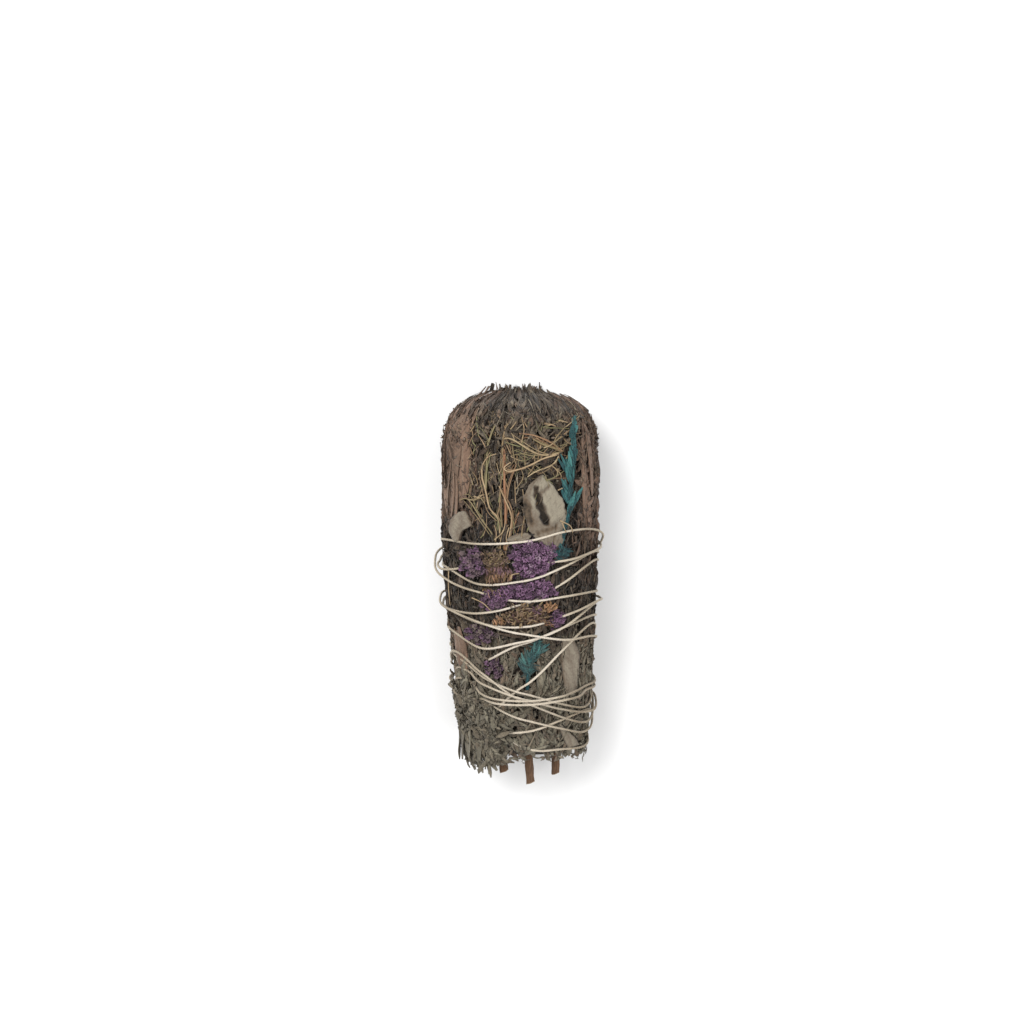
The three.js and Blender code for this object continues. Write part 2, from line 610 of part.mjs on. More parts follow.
// Name, maker, colour and the room that the piece needs among those made after it.
const DRESSING = [
  ["pale_leaf_curled", curledLeaf(), COLOURS.paleLeaf, paleLeaf(CURLED_LEAF, GAP)],
  ["larkspur_upper", larkspur(UPPER_LARKSPUR), COLOURS.larkspur, larkspurRoom(UPPER_LARKSPUR)],
  ["grass_straw_fan", straws(STRAW_FAN), COLOURS.grass, straws(STRAW_FAN, GAP)],
  ["grass_straw_bunch", straws(STRAW_BUNCH), COLOURS.grass, straws(STRAW_BUNCH, GAP)],
  ["grass_straw_loop", straws(STRAW_LOOP), COLOURS.grass, straws(STRAW_LOOP, GAP)],
  ...PALE_LEAVES.map((leaf) => [leaf.name, paleLeaf(leaf), COLOURS.paleLeaf, paleLeaf(leaf, GAP)]),
  ...STRAWFLOWERS.map((head) => [head.name, strawflower(head), COLOURS.strawflower, bloomRoom(head)]),
  ["larkspur_lower", larkspur(LOWER_LARKSPUR), COLOURS.larkspur, larkspurRoom(LOWER_LARKSPUR)],
  ...STATICE.map((head) => [head.name, statice(head), COLOURS.statice, bloomRoom(head)]),
];

// Everything is made from the outside in, and each piece leaves room for those made before it.
addNode("cotton_string", cottonString(0).add(stringKnot(0)), COLOURS.string);
const rooms = [cottonString(GAP), stringKnot(GAP)];
for (const [name, body, colour, room] of DRESSING) {
  addNode(name, largest(body.subtract(joined(rooms))), colour);
  rooms.push(room);
}
const dressingRoom = joined(rooms);
SPRIG_NAMES.forEach((name, i) => {
  addNode(`sage_sprig_${name}`, largest(sprig(i).subtract(dressingRoom)), COLOURS.sage);
  addNode(`sprig_stem_${name}`, sprigStem(i, 0), COLOURS.stem);
});

export default group;
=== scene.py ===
# A dried sage bundle lying on its back, dressed with dried flowers, pale leaves and straws and
# wound with cotton string. Shapes are worked out in millimetres and written in metres.
import bpy
import numpy as np
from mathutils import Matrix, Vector


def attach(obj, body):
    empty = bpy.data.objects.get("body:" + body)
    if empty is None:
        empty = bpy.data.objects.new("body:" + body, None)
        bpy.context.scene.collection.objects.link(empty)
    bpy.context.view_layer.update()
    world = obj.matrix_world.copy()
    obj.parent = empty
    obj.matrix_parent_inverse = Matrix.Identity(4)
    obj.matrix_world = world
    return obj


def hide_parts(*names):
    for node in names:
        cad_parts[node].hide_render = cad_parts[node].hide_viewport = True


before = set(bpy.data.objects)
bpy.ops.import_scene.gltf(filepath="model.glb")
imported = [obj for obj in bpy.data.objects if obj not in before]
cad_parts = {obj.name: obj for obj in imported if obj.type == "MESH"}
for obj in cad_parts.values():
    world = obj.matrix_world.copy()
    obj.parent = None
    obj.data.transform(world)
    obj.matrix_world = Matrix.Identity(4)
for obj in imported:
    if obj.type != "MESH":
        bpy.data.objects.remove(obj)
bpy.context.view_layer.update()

mm = 0.001

# the bundle's own form, as in the solids
bundle = {
    "taperPower": 1.8, "fattestY": 35.0, "halfWidth": 36.0, "heightShare": 0.84, "squareness": 2.3,
    "sinkShare": 0.94, "topReach": 60.0, "topPower": 6.0, "neckShare": 0.19, "baseY": -80.0,
    "crownY": 86.0, "taper": 9.0, "lean": 4.0, "lobeDepth": 0.02,
    "sprigs": ["front", "front_left", "back_left", "back", "back_right", "front_right"],
}
sector = 2 * np.pi / len(bundle["sprigs"])


def smooth(value, low, high):
    # a ramp from 0 to 1 between two values, level at both ends
    t = np.clip((value - low) / (high - low), 0, 1)
    return t * t * (3 - 2 * t)


def downTaper(y):
    # 0 at the widest place, 1 at the base
    return np.maximum(0, (bundle["fattestY"] - y) / (bundle["fattestY"] - bundle["baseY"]))


def halfWidthAt(y):
    # a power of the way down below the widest place, a rounded end above it
    up = np.maximum(0, y - bundle["fattestY"]) / bundle["topReach"]
    above = bundle["halfWidth"] * np.sqrt(np.maximum(bundle["neckShare"], 1 - up ** bundle["topPower"]))
    below = bundle["halfWidth"] - bundle["taper"] * downTaper(y) ** bundle["taperPower"]
    return np.where(y < bundle["fattestY"], below, above)


def centreXAt(y):
    # the middle line leans to the right by the square of the way down
    return bundle["lean"] * downTaper(y) ** 2


def centreZAt(y):
    # the bundle lies flat, a little sunk
    return bundle["sinkShare"] * bundle["heightShare"] * halfWidthAt(y)


def signedPower(value, power):
    # a power of the size that keeps the sign
    return np.sign(value) * np.abs(value) ** power


def skinPoint(phi, y, height, share=1.0):
    # a superellipse round the middle line, plus a height along its outward normal
    phi, y, height = np.broadcast_arrays(phi, y, height)
    power = 2 / bundle["squareness"]
    flat = bundle["heightShare"]
    c = np.cos(phi)
    s = np.sin(phi)
    lobe = 1 + bundle["lobeDepth"] * np.cos(len(bundle["sprigs"]) * (phi - np.pi / 2))
    reach = halfWidthAt(y) * lobe * share
    outX = signedPower(c, 2 - power)
    outZ = signedPower(s, 2 - power) / flat
    size = np.hypot(outX, outZ)
    x = centreXAt(y) + reach * signedPower(c, power) + height * outX / size
    z = centreZAt(y) + reach * flat * signedPower(s, power) + height * outZ / size
    return np.stack([x, y, z], -1)


def frontAngle(x, y):
    # the angle round the bundle of a place seen from above
    share = np.clip((x - centreXAt(y)) / halfWidthAt(y), -0.99, 0.99)
    return np.arccos(signedPower(share, bundle["squareness"] / 2))


def frontPoint(x, y, height):
    # a point over the place seen from above, at a height along the skin's normal
    x, y, height = np.broadcast_arrays(x, y, height)
    return skinPoint(frontAngle(x, y), y, height)


def restOnGround(points, level=3.0, lowest=0.12):
    # below the level, heights shrink towards the lowest one, so that what lies under is pressed
    low = lowest + (level - lowest) * np.exp((points[..., 2] - level) / (level - lowest))
    points[..., 2] = np.where(points[..., 2] < level, low, points[..., 2])
    return points


def shaped(values):
    # one number for each shell, to be used with the shell's points
    return np.asarray(values, float)[:, None, None]


def curveThrough(points, places):
    # a Catmull-Rom curve through a list of points, at places from 0 to 1
    points = np.asarray(points, float)
    at = np.clip(places, 0, 1) * (len(points) - 1)
    i = np.minimum(at.astype(int), len(points) - 2)
    t = (at - i)[..., None]
    before = points[np.maximum(i - 1, 0)]
    start = points[i]
    end = points[i + 1]
    after = points[np.minimum(i + 2, len(points) - 1)]
    v0 = (end - before) / 2
    v1 = (after - start) / 2
    curve = (2 * start - 2 * end + v0 + v1) * t**3
    return curve + (3 * end - 3 * start - 2 * v0 - v1) * t**2 + v0 * t + start


def shellFaces(stations, ring):
    # quads between neighbouring rings and triangles to one point at each end
    i = np.arange(stations - 1)[:, None]
    j = np.arange(ring)[None, :]
    a = i * ring + j
    b = i * ring + (j + 1) % ring
    quads = np.stack([a, b, b + ring, a + ring], -1).reshape(-1, 4)
    j = np.arange(ring)
    ahead = (j + 1) % ring
    first = np.full(ring, stations * ring)
    last = (stations - 1) * ring
    start = np.stack([first, ahead, j], -1)
    end = np.stack([first + 1, last + j, last + ahead], -1)
    return quads, np.concatenate([start, end])


def shellMap(stations, ring, across, along):
    # the same faces' map places: across runs round the ring, along runs from end to end
    def endMap(spots, place):
        return np.stack([np.stack([spot, np.full(ring, place)], -1) for spot in spots], -2)

    i, j = np.indices((stations - 1, ring))
    corners = [(j, i), (j + 1, i), (j + 1, i + 1), (j, i + 1)]
    quads = np.stack([np.stack([across[a], along[b]], -1) for a, b in corners], -2)
    near, far = across[:-1], across[1:]
    middle = (near + far) / 2
    start = endMap([middle, far, near], along[0])
    end = endMap([middle, near, far], along[-1])
    return quads.reshape(-1, 4, 2), np.concatenate([start, end])


def outwardSign(vertices, quads):
    # the sign of the volume that the quads enclose
    a, b, c, d = (vertices[:, quads[:, k]] for k in range(4))
    volume = np.einsum("...i,...i", a, np.cross(b, c)) + np.einsum("...i,...i", a, np.cross(c, d))
    return np.sign(volume.sum(1))


def shells(points, across=None, **traits):
    # closed shells as rings of points, one shell for each first index, with named numbers on them
    count, stations, ring = points.shape[:3]
    across = np.linspace(0, 1, ring + 1) if across is None else np.append(across, across[0])
    ends = np.stack([points[:, 0].mean(1), points[:, -1].mean(1)], 1)
    vertices = np.concatenate([points.reshape(count, -1, 3), ends], 1)
    quads, triangles = shellFaces(stations, ring)
    quadMap, triangleMap = shellMap(stations, ring, across, np.linspace(0, 1, stations))
    flip = shaped(outwardSign(vertices, quads) < 0) > 0
    shift = shaped(np.arange(count) * vertices.shape[1]).astype(int)
    made = {"vertices": vertices, "traits": {}}
    made["quads"] = np.where(flip, quads[:, ::-1], quads) + shift
    made["triangles"] = np.where(flip, triangles[:, ::-1], triangles) + shift
    made["quadMap"] = np.where(flip[..., None], quadMap[:, ::-1], quadMap)
    made["triangleMap"] = np.where(flip[..., None], triangleMap[:, ::-1], triangleMap)
    for name, value in traits.items():
        value = shaped(value) if np.ndim(value) == 1 else np.asarray(value, float)
        value = np.broadcast_to(value, (count, stations, ring))
        tips = np.stack([value[:, 0].mean(1), value[:, -1].mean(1)], 1)
        made["traits"][name] = np.concatenate([value.reshape(count, -1), tips], 1)
    return made


def newObject(name, data):
    # an object in the scene, unmoved and unturned
    made = bpy.data.objects.new(name, data)
    bpy.context.scene.collection.objects.link(made)
    return made


def addPiece(name, batches, kind, slot, *nodes):
    # one mesh of all the shells, in metres, which rides on the root and stands for the nodes
    offsets = np.cumsum([0] + [b["vertices"].shape[0] * b["vertices"].shape[1] for b in batches])
    vertices = np.concatenate([b["vertices"].reshape(-1, 3) for b in batches]) * mm
    quads = np.concatenate([b["quads"].reshape(-1, 4) + o for b, o in zip(batches, offsets)])
    triangles = np.concatenate([b["triangles"].reshape(-1, 3) + o for b, o in zip(batches, offsets)])
    places = [b[faces].reshape(-1, 2) for faces in ("quadMap", "triangleMap") for b in batches]
    corners = np.concatenate([quads.ravel(), triangles.ravel()])
    starts = np.concatenate([np.arange(len(quads)) * 4, quads.size + np.arange(len(triangles)) * 3])
    mesh = bpy.data.meshes.new(name)
    mesh.vertices.add(len(vertices))
    mesh.vertices.foreach_set("co", vertices.ravel())
    mesh.loops.add(len(corners))
    mesh.loops.foreach_set("vertex_index", corners.astype(np.int32))
    mesh.polygons.add(len(starts))
    mesh.polygons.foreach_set("loop_start", starts.astype(np.int32))
    mesh.update(calc_edges=True)
    mesh.shade_smooth()
    mesh.uv_layers.new(name="pieceMap").data.foreach_set("uv", np.concatenate(places).ravel())
    for trait in ["tone", "rust", "olive"]:
        blank = [np.zeros(b["vertices"].shape[:2]) for b in batches]
        values = [b["traits"].get(trait, none).ravel() for b, none in zip(batches, blank)]
        layer = mesh.attributes.new(trait, "FLOAT", "POINT")
        layer.data.foreach_set("value", np.concatenate(values))
    mesh.materials.append(finishes[kind])
    piece = newObject(name, mesh)
    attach(piece, "root")
    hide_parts(*nodes)
    print(name, len(quads) * 2 + len(triangles), "triangles")


class Field:
    # a node's output that can be used in sums, differences and products
    def __init__(self, maker, socket):
        self.maker = maker
        self.socket = socket

    def __add__(self, other):
        return self.maker.calc("ADD", self, other)

    def __radd__(self, other):
        return self.maker.calc("ADD", other, self)

    def __sub__(self, other):
        return self.maker.calc("SUBTRACT", self, other)

    def __rsub__(self, other):
        return self.maker.calc("SUBTRACT", other, self)

    def __mul__(self, other):
        return self.maker.calc("MULTIPLY", self, other)

    def __rmul__(self, other):
        return self.maker.calc("MULTIPLY", other, self)


class FinishMaker:
    # builds one material's node tree
    def __init__(self, name):
        self.material = bpy.data.materials.new(name)
        self.material.use_nodes = True
        self.tree = self.material.node_tree
        self.tree.nodes.clear()

    def node(self, kind, settings=None, inputs=None, output=0):
        # one node: its settings first, a ramp's stops among them, then its sockets' values and links
        made = self.tree.nodes.new(kind)
        for key, value in (settings or {}).items():
            if key == "stops":
                while len(made.color_ramp.elements) < len(value):
                    made.color_ramp.elements.new(0.5)
                for element, (place, colour) in zip(made.color_ramp.elements, value):
                    element.position = place
                    element.color = colour
            else:
                setattr(made, key, value)
        for key, value in (inputs or {}).items():
            if isinstance(value, Field):
                self.tree.links.new(value.socket, made.inputs[key])
            else:
                made.inputs[key].default_value = value
        return Field(self, made.outputs[output]) if made.outputs else None

    def calc(self, operation, first, second=0.0, clamp=False):
        # one Math node on numbers and fields
        settings = {"operation": operation, "use_clamp": clamp}
        return self.node("ShaderNodeMath", settings, {0: first, 1: second})

    def clamped(self, value):
        return self.calc("ADD", value, 0.0, True)

    def mix(self, factor, first, second, blend="MIX"):
        settings = {"data_type": "RGBA", "blend_type": blend}
        return self.node("ShaderNodeMix", settings, {0: factor, 6: first, 7: second}, 2)

    def trait(self, name):
        return self.node("ShaderNodeAttribute", {"attribute_name": name}, output=2)

    def shaded(self, colour, shade):
        # a colour made darker or lighter by a number
        grey = self.node("ShaderNodeCombineColor", inputs={0: shade, 1: shade, 2: shade})
        return self.mix(1.0, colour, grey, "MULTIPLY")

    def place(self):
        return self.node("ShaderNodeTexCoord", output=3)

    def pieceMap(self):
        # the map's two numbers: across and along
        uv = self.node("ShaderNodeUVMap", {"uv_map": "pieceMap"})
        return [self.node("ShaderNodeSeparateXYZ", inputs={0: uv}, output=k) for k in (0, 1)]

    def noise(self, scale, detail=3.0, roughness=0.6, stretch=None):
        # noise on the object's own coordinates, drawn out where stretch is low
        vector = self.place()
        if stretch:
            vector = self.node("ShaderNodeMapping", inputs={"Vector": vector, "Scale": stretch})
        inputs = {"Vector": vector, "Scale": scale, "Detail": detail, "Roughness": roughness}
        return self.node("ShaderNodeTexNoise", inputs=inputs)

    def ramp(self, value, look, **places):
        # from one of the look's colours to the next, each at its place from 0 to 1
        stops = [(place, look[name]) for name, place in places.items()]
        return self.node("ShaderNodeValToRGB", {"stops": stops}, {0: value})

    def finish(self, colour, roughness, bump, depth, sheen=0.0, specular=0.3):
        # the shader with its bump, which ends the material
        normal = self.node("ShaderNodeBump", inputs={"Height": bump, "Distance": depth})
        inputs = {
            "Base Color": colour,
            "Roughness": roughness,
            "Normal": normal,
            "Sheen Weight": sheen,
            "Specular IOR Level": specular,
        }
        shader = self.node("ShaderNodeBsdfPrincipled", inputs=inputs)
        self.node("ShaderNodeOutputMaterial", inputs={"Surface": shader})
        return self.material


def paint(red, green, blue):
    # screen values from 0 to 255 as linear light
    value = np.array([red, green, blue]) / 255
    linear = np.where(value < 0.04045, value / 12.92, ((value + 0.055) / 1.055) ** 2.4)
    return (*linear.tolist(), 1.0)


# gap, the darkest colour, also gives the painted shade of the dark heart between the leaves
sageLook = {
    "gap": paint(34, 28, 24), "dark": paint(62, 53, 44), "middle": paint(98, 86, 72),
    "light": paint(150, 138, 118), "olive": paint(124, 118, 102), "rust": paint(122, 98, 82),
    "mottle": 800.0, "felt": 2600.0, "blotch": 190.0, "fibre": 600.0,
}


def sageFinish():
    # brown-grey by tone, mottled, shifted to grey-olive or rust, with a paler midrib and a fine felt
    make = FinishMaker("driedSage")
    across, along = make.pieceMap()
    mottle = make.noise(sageLook["mottle"], 4.0, 0.7)
    felt = make.noise(sageLook["felt"], 2.0)
    blotch = make.noise(sageLook["blotch"], 2.0)
    fleck = (mottle - 0.5) * 1.1 + (felt - 0.5) * 0.5 + (blotch - 0.5) * 0.4
    level = make.clamped(make.trait("tone") * 0.85 + fleck + 0.05)
    base = make.ramp(level, sageLook, gap=0.0, dark=0.28, middle=0.6, light=1.0)
    fibre = make.noise(sageLook["fibre"], stretch=(2.5, 0.2, 2.5))
    olive = make.shaded(sageLook["olive"], 0.5 + level * 0.85)
    rust = make.shaded(sageLook["rust"], 0.75 + level * 0.3 + (fibre - 0.5) * 1.3)
    colour = make.mix(make.trait("olive"), base, olive)
    colour = make.mix(make.trait("rust"), colour, rust)
    rib = make.clamped(1 - make.calc("ABSOLUTE", across) * 9)
    colour = make.mix(rib * 0.25, colour, sageLook["light"])
    veins = make.calc("SINE", along * 60 - make.calc("ABSOLUTE", across) * 9)
    bump = mottle + felt * 0.5 + fibre * 0.5 + rib * 0.4 + veins * 0.1
    return make.finish(colour, 0.84 + mottle * 0.15, bump, 0.0004, sheen=0.12, specular=0.2)


stemLook = {
    "bark": paint(112, 84, 62), "dark": paint(66, 48, 36), "pith": paint(196, 176, 138),
    "fibre": 500.0,
}


def stemFinish():
    # bark with long fibres, and a pale cut end where the tone is high
    make = FinishMaker("woodyStem")
    fibre = make.noise(stemLook["fibre"], 4.0, stretch=(3.0, 0.25, 3.0))
    bark = make.ramp(fibre, stemLook, dark=0.3, bark=0.7)
    colour = make.mix(make.trait("tone"), bark, stemLook["pith"])
    return make.finish(colour, 0.8 + fibre * 0.1, fibre, 0.0004)


paleLook = {
    "deep": paint(40, 34, 27), "tan": paint(92, 78, 63), "grey": paint(112, 102, 89),
    "cream": paint(136, 128, 112), "felt": 900.0, "blotch": 160.0, "net": 620.0,
}


def paleLeafFinish():
    # cream felt that falls to grey, tan and a deep brown with the tone, netted with fine veins; the
    # deep brown is mostly the painted shade of the curled leaf's slit and creases
    make = FinishMaker("paleLeafFelt")
    across, along = make.pieceMap()
    felt = make.noise(paleLook["felt"], 4.0, 0.7)
    blotch = make.noise(paleLook["blotch"], 3.0)
    level = make.clamped(make.trait("tone") + (felt - 0.5) * 0.5 + (blotch - 0.5) * 0.45)
    colour = make.ramp(level, paleLook, deep=0.05, tan=0.35, grey=0.6, cream=0.95)
    side = make.calc("ABSOLUTE", across)
    wave = make.calc("SINE", along * 75 - side * 16)
    veins = make.clamped(wave * 3 - 2.2)
    edges = {"feature": "DISTANCE_TO_EDGE"}
    net = make.node("ShaderNodeTexVoronoi", edges, {"Vector": make.place(), "Scale": paleLook["net"]})
    colour = make.mix(veins * 0.12, colour, paleLook["tan"])
    bump = felt * 0.6 + make.clamped(net * 3) * 0.5 - veins * 0.4
    return make.finish(colour, 0.85, bump, 0.0003, sheen=0.15, specular=0.2)


# rust and olive are what those two traits bring in: white and husk, orange and mauve, dark and grey
flowerLook = {
    "statice": {
        "dark": paint(66, 46, 62), "middle": paint(120, 85, 116), "pale": paint(158, 122, 152),
        "rust": paint(158, 136, 150), "olive": paint(112, 102, 88),
    },
    "head": {
        "dark": paint(54, 38, 28), "middle": paint(114, 90, 64), "pale": paint(176, 152, 112),
        "rust": paint(198, 148, 104), "olive": paint(138, 100, 122),
    },
    "spike": {
        "dark": paint(18, 46, 52), "middle": paint(38, 96, 99), "pale": paint(84, 146, 140),
        "rust": paint(18, 46, 52), "olive": paint(92, 116, 106),
    },
}


def flowerFinish(name, flower):
    # dark to pale by the tone, crinkled along each petal with painted light and shade on the crinkles,
    # with two more colours by the other traits
    look = flowerLook[flower]
    make = FinishMaker(name)
    across, along = make.pieceMap()
    grain = make.noise(1100.0, 3.0)
    crinkle = make.calc("SINE", across * 40 + grain * 4)
    # the crinkle in the level is painted light and shade
    level = make.trait("tone") * 0.9 + (grain - 0.5) * 0.8 + crinkle * 0.12 + along * 0.15 - 0.05
    level = make.clamped(level)
    colour = make.ramp(level, look, dark=0.08, middle=0.5, pale=1.0)
    for trait in ("rust", "olive"):
        colour = make.mix(make.trait(trait), colour, make.shaded(look[trait], 0.55 + level * 0.75))
    return make.finish(colour, 0.75 + grain * 0.2, grain + crinkle * 0.3, 0.0002, sheen=0.1)


strawLook = {
    "dark": paint(84, 66, 48), "straw": paint(132, 112, 86), "pale": paint(172, 154, 122),
    "rust": paint(138, 94, 68), "olive": paint(112, 110, 78),
}


def strawFinish():
    # straw with long fine streaks, redder where rust is high and greener where olive is
    make = FinishMaker("grassStraw")
    streak = make.noise(700.0, 3.0, stretch=(2.5, 0.3, 2.5))
    level = make.clamped(make.trait("tone") * 0.8 + (streak - 0.5) * 0.8 + 0.1)
    colour = make.ramp(level, strawLook, dark=0.1, straw=0.5, pale=0.95)
    for trait in ("rust", "olive"):
        colour = make.mix(make.trait(trait), colour, strawLook[trait])
    return make.finish(colour, 0.6 + streak * 0.2, streak, 0.0002)


# the darkest colour stands for soiling and for painted shade
stringLook = {
    "soiled": paint(132, 118, 98), "cotton": paint(176, 164, 144), "clean": paint(204, 194, 180),
}


def stringFinish():
    # cream cotton by the tone, with painted shade between the plies and a little painted light on their
    # crests, and soiling here and there
    make = FinishMaker("cottonString")
    across, along = make.pieceMap()
    fibre = make.noise(2200.0, 3.0)
    soil = make.noise(90.0, 2.0)
    # painted shade in the grooves between the plies, a little painted light on their crests
    crest = make.calc("COSINE", across * (6 * np.pi) - 2 * np.pi / 3) * 0.5 + 0.5
    level = make.trait("tone") + (crest - 0.7) * 0.3 + (soil - 0.5) * 0.5 + (fibre - 0.5) * 0.3
    colour = make.ramp(make.clamped(level), stringLook, soiled=0.05, cotton=0.5, clean=0.95)
    return make.finish(colour, 0.9, fibre, 0.0001, sheen=0.2)


finishes = {
    "sage": sageFinish(),
    "stem": stemFinish(),
    "pale": paleLeafFinish(),
    "statice": flowerFinish("staticePaper", "statice"),
    "head": flowerFinish("strawflowerBract", "head"),
    "spike": flowerFinish("dyedLarkspur", "spike"),
    "straw": strawFinish(),
    "string": stringFinish(),
}
print("finishes made")


plainLeaf = {"thick": 0.3, "twist": 0.9, "roll": 0.5, "wave": (0.1, 0.5), "ends": (0.05, 0.9)}


def leafRim(columns):
    # places across a leaf, from -1 to 1 over its top and back under it, and which side each is on
    row = np.linspace(-1, 1, columns)
    face = np.ones(columns - 2)
    return np.concatenate([row, row[-2:0:-1]]), np.concatenate([[0], face, [0], -face])


def leafShape(rng, length, look):
    # A thin closed leaf, flat along its length and rolled across: a column at c lies on an arc as
    # long as the leaf is wide there. It is twisted, rolled to a side and waved along its length.
    # Gives how far each point is along, sideways and over, and its place across the leaf.
    look = {**plainLeaf, **look}
    count = len(length)
    columns, stations = look["grid"]
    width = shaped(rng.uniform(*look["width"], count))
    curl = shaped(rng.uniform(*look["curl"], count) * rng.choice([-1, 1], count))
    twist = shaped(rng.normal(0, look["twist"], count))
    roll = shaped(rng.normal(0, look["roll"], count))
    wave = shaped(rng.uniform(*look["wave"], count))
    phase = shaped(rng.uniform(0, 2 * np.pi, count))
    s = np.linspace(0.015, 0.985, stations)[None, :, None]
    across, side = leafRim(columns)
    foot, tip = look["ends"]
    half = width / 2 * np.sin(np.pi * (foot + tip * s**0.85)) ** 0.8
    bend = np.where(np.abs(curl) < 0.05, 0.05, curl) * (0.7 + 0.5 * s)
    radius = half / bend
    face = side * look["thick"] / 2 * np.sin(np.pi * (0.04 + 0.92 * s)) ** 0.5
    x = (radius - face) * np.sin(across * bend)
    z = radius - (radius - face) * np.cos(across * bend)
    z = z + wave * np.sin(7 * s + phase) + wave * across * np.sin(11 * s + 2.3 * phase)
    turn = roll + twist * (s - 0.5)
    aside = x * np.cos(turn) - z * np.sin(turn)
    over = x * np.sin(turn) + z * np.cos(turn)
    return s * shaped(length), aside, over, across


def layOnSkin(shape, phi, y, height, heading, rise):
    # a leaf from its root at an angle and height, headed away from the bundle's length and rising
    along, aside, over, across = shape
    phi, y, height, heading, rise = map(shaped, (phi, y, height, heading, rise))
    span = along.max(1, keepdims=True)
    u = along * np.sin(heading) + aside * np.cos(heading)
    v = along * np.cos(heading) - aside * np.sin(heading)
    h = height + over + rise * (along / span) ** 1.5
    return restOnGround(skinPoint(phi - u / halfWidthAt(y), y + v, h))


def layOnFront(shape, x, y, height, heading, steep):
    # a leaf from a place on the front, headed by an angle from +X and tipped up by another
    along, aside, over, across = shape
    x, y, height, heading, steep = map(shaped, (x, y, height, heading, steep))
    out = along * np.cos(steep) - over * np.sin(steep)
    up = along * np.sin(steep) + over * np.cos(steep)
    dx = out * np.cos(heading) - aside * np.sin(heading)
    dy = out * np.sin(heading) + aside * np.cos(heading)
    return frontPoint(x + dx, y + dy, height + up)


# as in the solids: heights of each pass at five places across the front and beneath, and where a
# strand is sunk, by its pass, from place, to place and depth
string = {
    "radius": 0.6, "height": 2.3, "floor": 0.95, "crossingReach": 1.6, "crossingLift": 1.35,
    "turnSamples": 72, "turnPlaces": 12, "humpFlat": 4, "humpFade": 5, "placesBeneath": 5,
    "start": [-50.2, -56.0], "startAngle": 210.0,
    "passes": [
        [-61, -66.5, -75.8, -76.5, -76.7, -72.5],
        [-69, -68.4, -66.7, -61.9, -58.4, -63.5],
        [-68, -59.4, -44.3, -27.8, -16.3, -25.5],
        [-37, -33.3, -24, -16.9, -12.4, -16],
        [-20, -26.6, -22.8, -16.4, -6.8, -9],
        [-9.9, -14.7, -15.9, -11.3, -5.4, -6.4],
        [-9, -9.8, -5.5, 4.3, 13.7, 11.5],
        [10.4, 4, 5.7, 12, 18.2, 14.2],
        [9.9, 13, 14.5, 14.9, 18.9, 21.5],
        [24, 22.9, 24.2, 28.5, 28.9, 17.5],
        [6.8, 0, -3.6, -2.1, -0.9, -3.8],
        [-8.4, -13.7, -18.8, -22.3, -22, -29],
        [-32.8, -40.8, -47.9, -53.9, -56.6, -42.5],
        [-29.5, -38.5, -51.8, -60.3, -64, -51],
        [-37.5, -43.4, -50.2, -56.3, -59, -54],
        [-47.5, -53.8, -61, -66, -69, -57],
        [-42.7, -49, -50.7, -48.7, -46, -45.5],
        [-51.4, -51.8, -52.3, -50.4, -47.9, -48.3],
    ],
    "sunk": [
        [0, -1, 1.7, 2.4], [1, -1, 1.3, 2.4], [2, -1, 1.2, 2.4], [3, -1, 0.8, 2.2], [5, 2.8, 3.0, 1.6],
        [6, 2.1, 2.6, 1.7], [8, 0.3, 2.8, 2.2], [10, 1.25, 1.4, 1.7], [12, -1, 0.4, 2.2],
        [13, -1, 0.4, 2.2], [14, -1, 0.5, 2.2], [15, -1, 0.6, 2.2], [16, -1, 0.4, 2.2],
        [17, -1, 0.7, 2.2],
    ],
    "sunkFade": 0.6, "step": 0.9, "plyTurn": 4.6, "plies": 3, "plyProfile": [0.88, 1.03, 0.88],
}


def sunkDepth(place):
    # how deep the string is sunk at places counted from the first one of its first pass
    depth = np.zeros(place.shape)
    fade = string["sunkFade"]
    for turn, first, last, deep in string["sunk"]:
        along = place - turn * string["turnPlaces"]
        here = deep * smooth(along, first - fade, first) * (1 - smooth(along, last, last + fade))
        depth = np.maximum(depth, here)
    return depth


def stringPlace(phi, y, depth, lift):
    # a point at the string's own height over the skin, less its depth, plus its lift
    point = skinPoint(phi, y, string["height"] - depth + lift)
    point[..., 2] = np.maximum(point[..., 2], string["floor"] + lift)
    return point


def stringRoute():
    # heights through every place of every turn; a later strand rides over an earlier one that it
    # passes close to, on a flat hump that fades both ways
    heights = list(string["start"])
    for index, turn in enumerate(string["passes"]):
        beneath = turn[5]
        heights += turn[:5] + [(turn[4] + beneath) / 2] + [beneath] * string["placesBeneath"]
        if index + 1 < len(string["passes"]):
            heights.append((beneath + string["passes"][index + 1][0]) / 2)
    samples = string["turnSamples"]
    count = (len(heights) - 1) * samples // string["turnPlaces"] + 1
    y = curveThrough(np.array(heights)[:, None], np.linspace(0, 1, count))[:, 0]
    phi = np.radians(string["startAngle"]) - np.arange(count) / samples * 2 * np.pi
    depth = sunkDepth(np.arange(count) * string["turnPlaces"] / samples - len(string["start"]))
    low = stringPlace(phi, y, depth, 0.0)
    apart = np.linalg.norm(low[:, None, :] - low[None, :, :], axis=-1)
    lifts = np.zeros(count)
    reach = string["humpFlat"] + string["humpFade"]
    window = np.arange(-reach, reach + 1)
    fade = smooth(reach - np.abs(window), 0, string["humpFade"])
    late, early = np.nonzero(apart <= string["crossingReach"])
    for i, j in zip(late, early):
        if j < i - samples // 2:
            at = i + window
            inside = (at >= 0) & (at < count)
            full = lifts[j] + string["crossingLift"] + depth[i] - depth[j]
            lifts[at[inside]] = np.maximum(lifts[at[inside]], full * fade[inside])
    return phi, y, depth, lifts


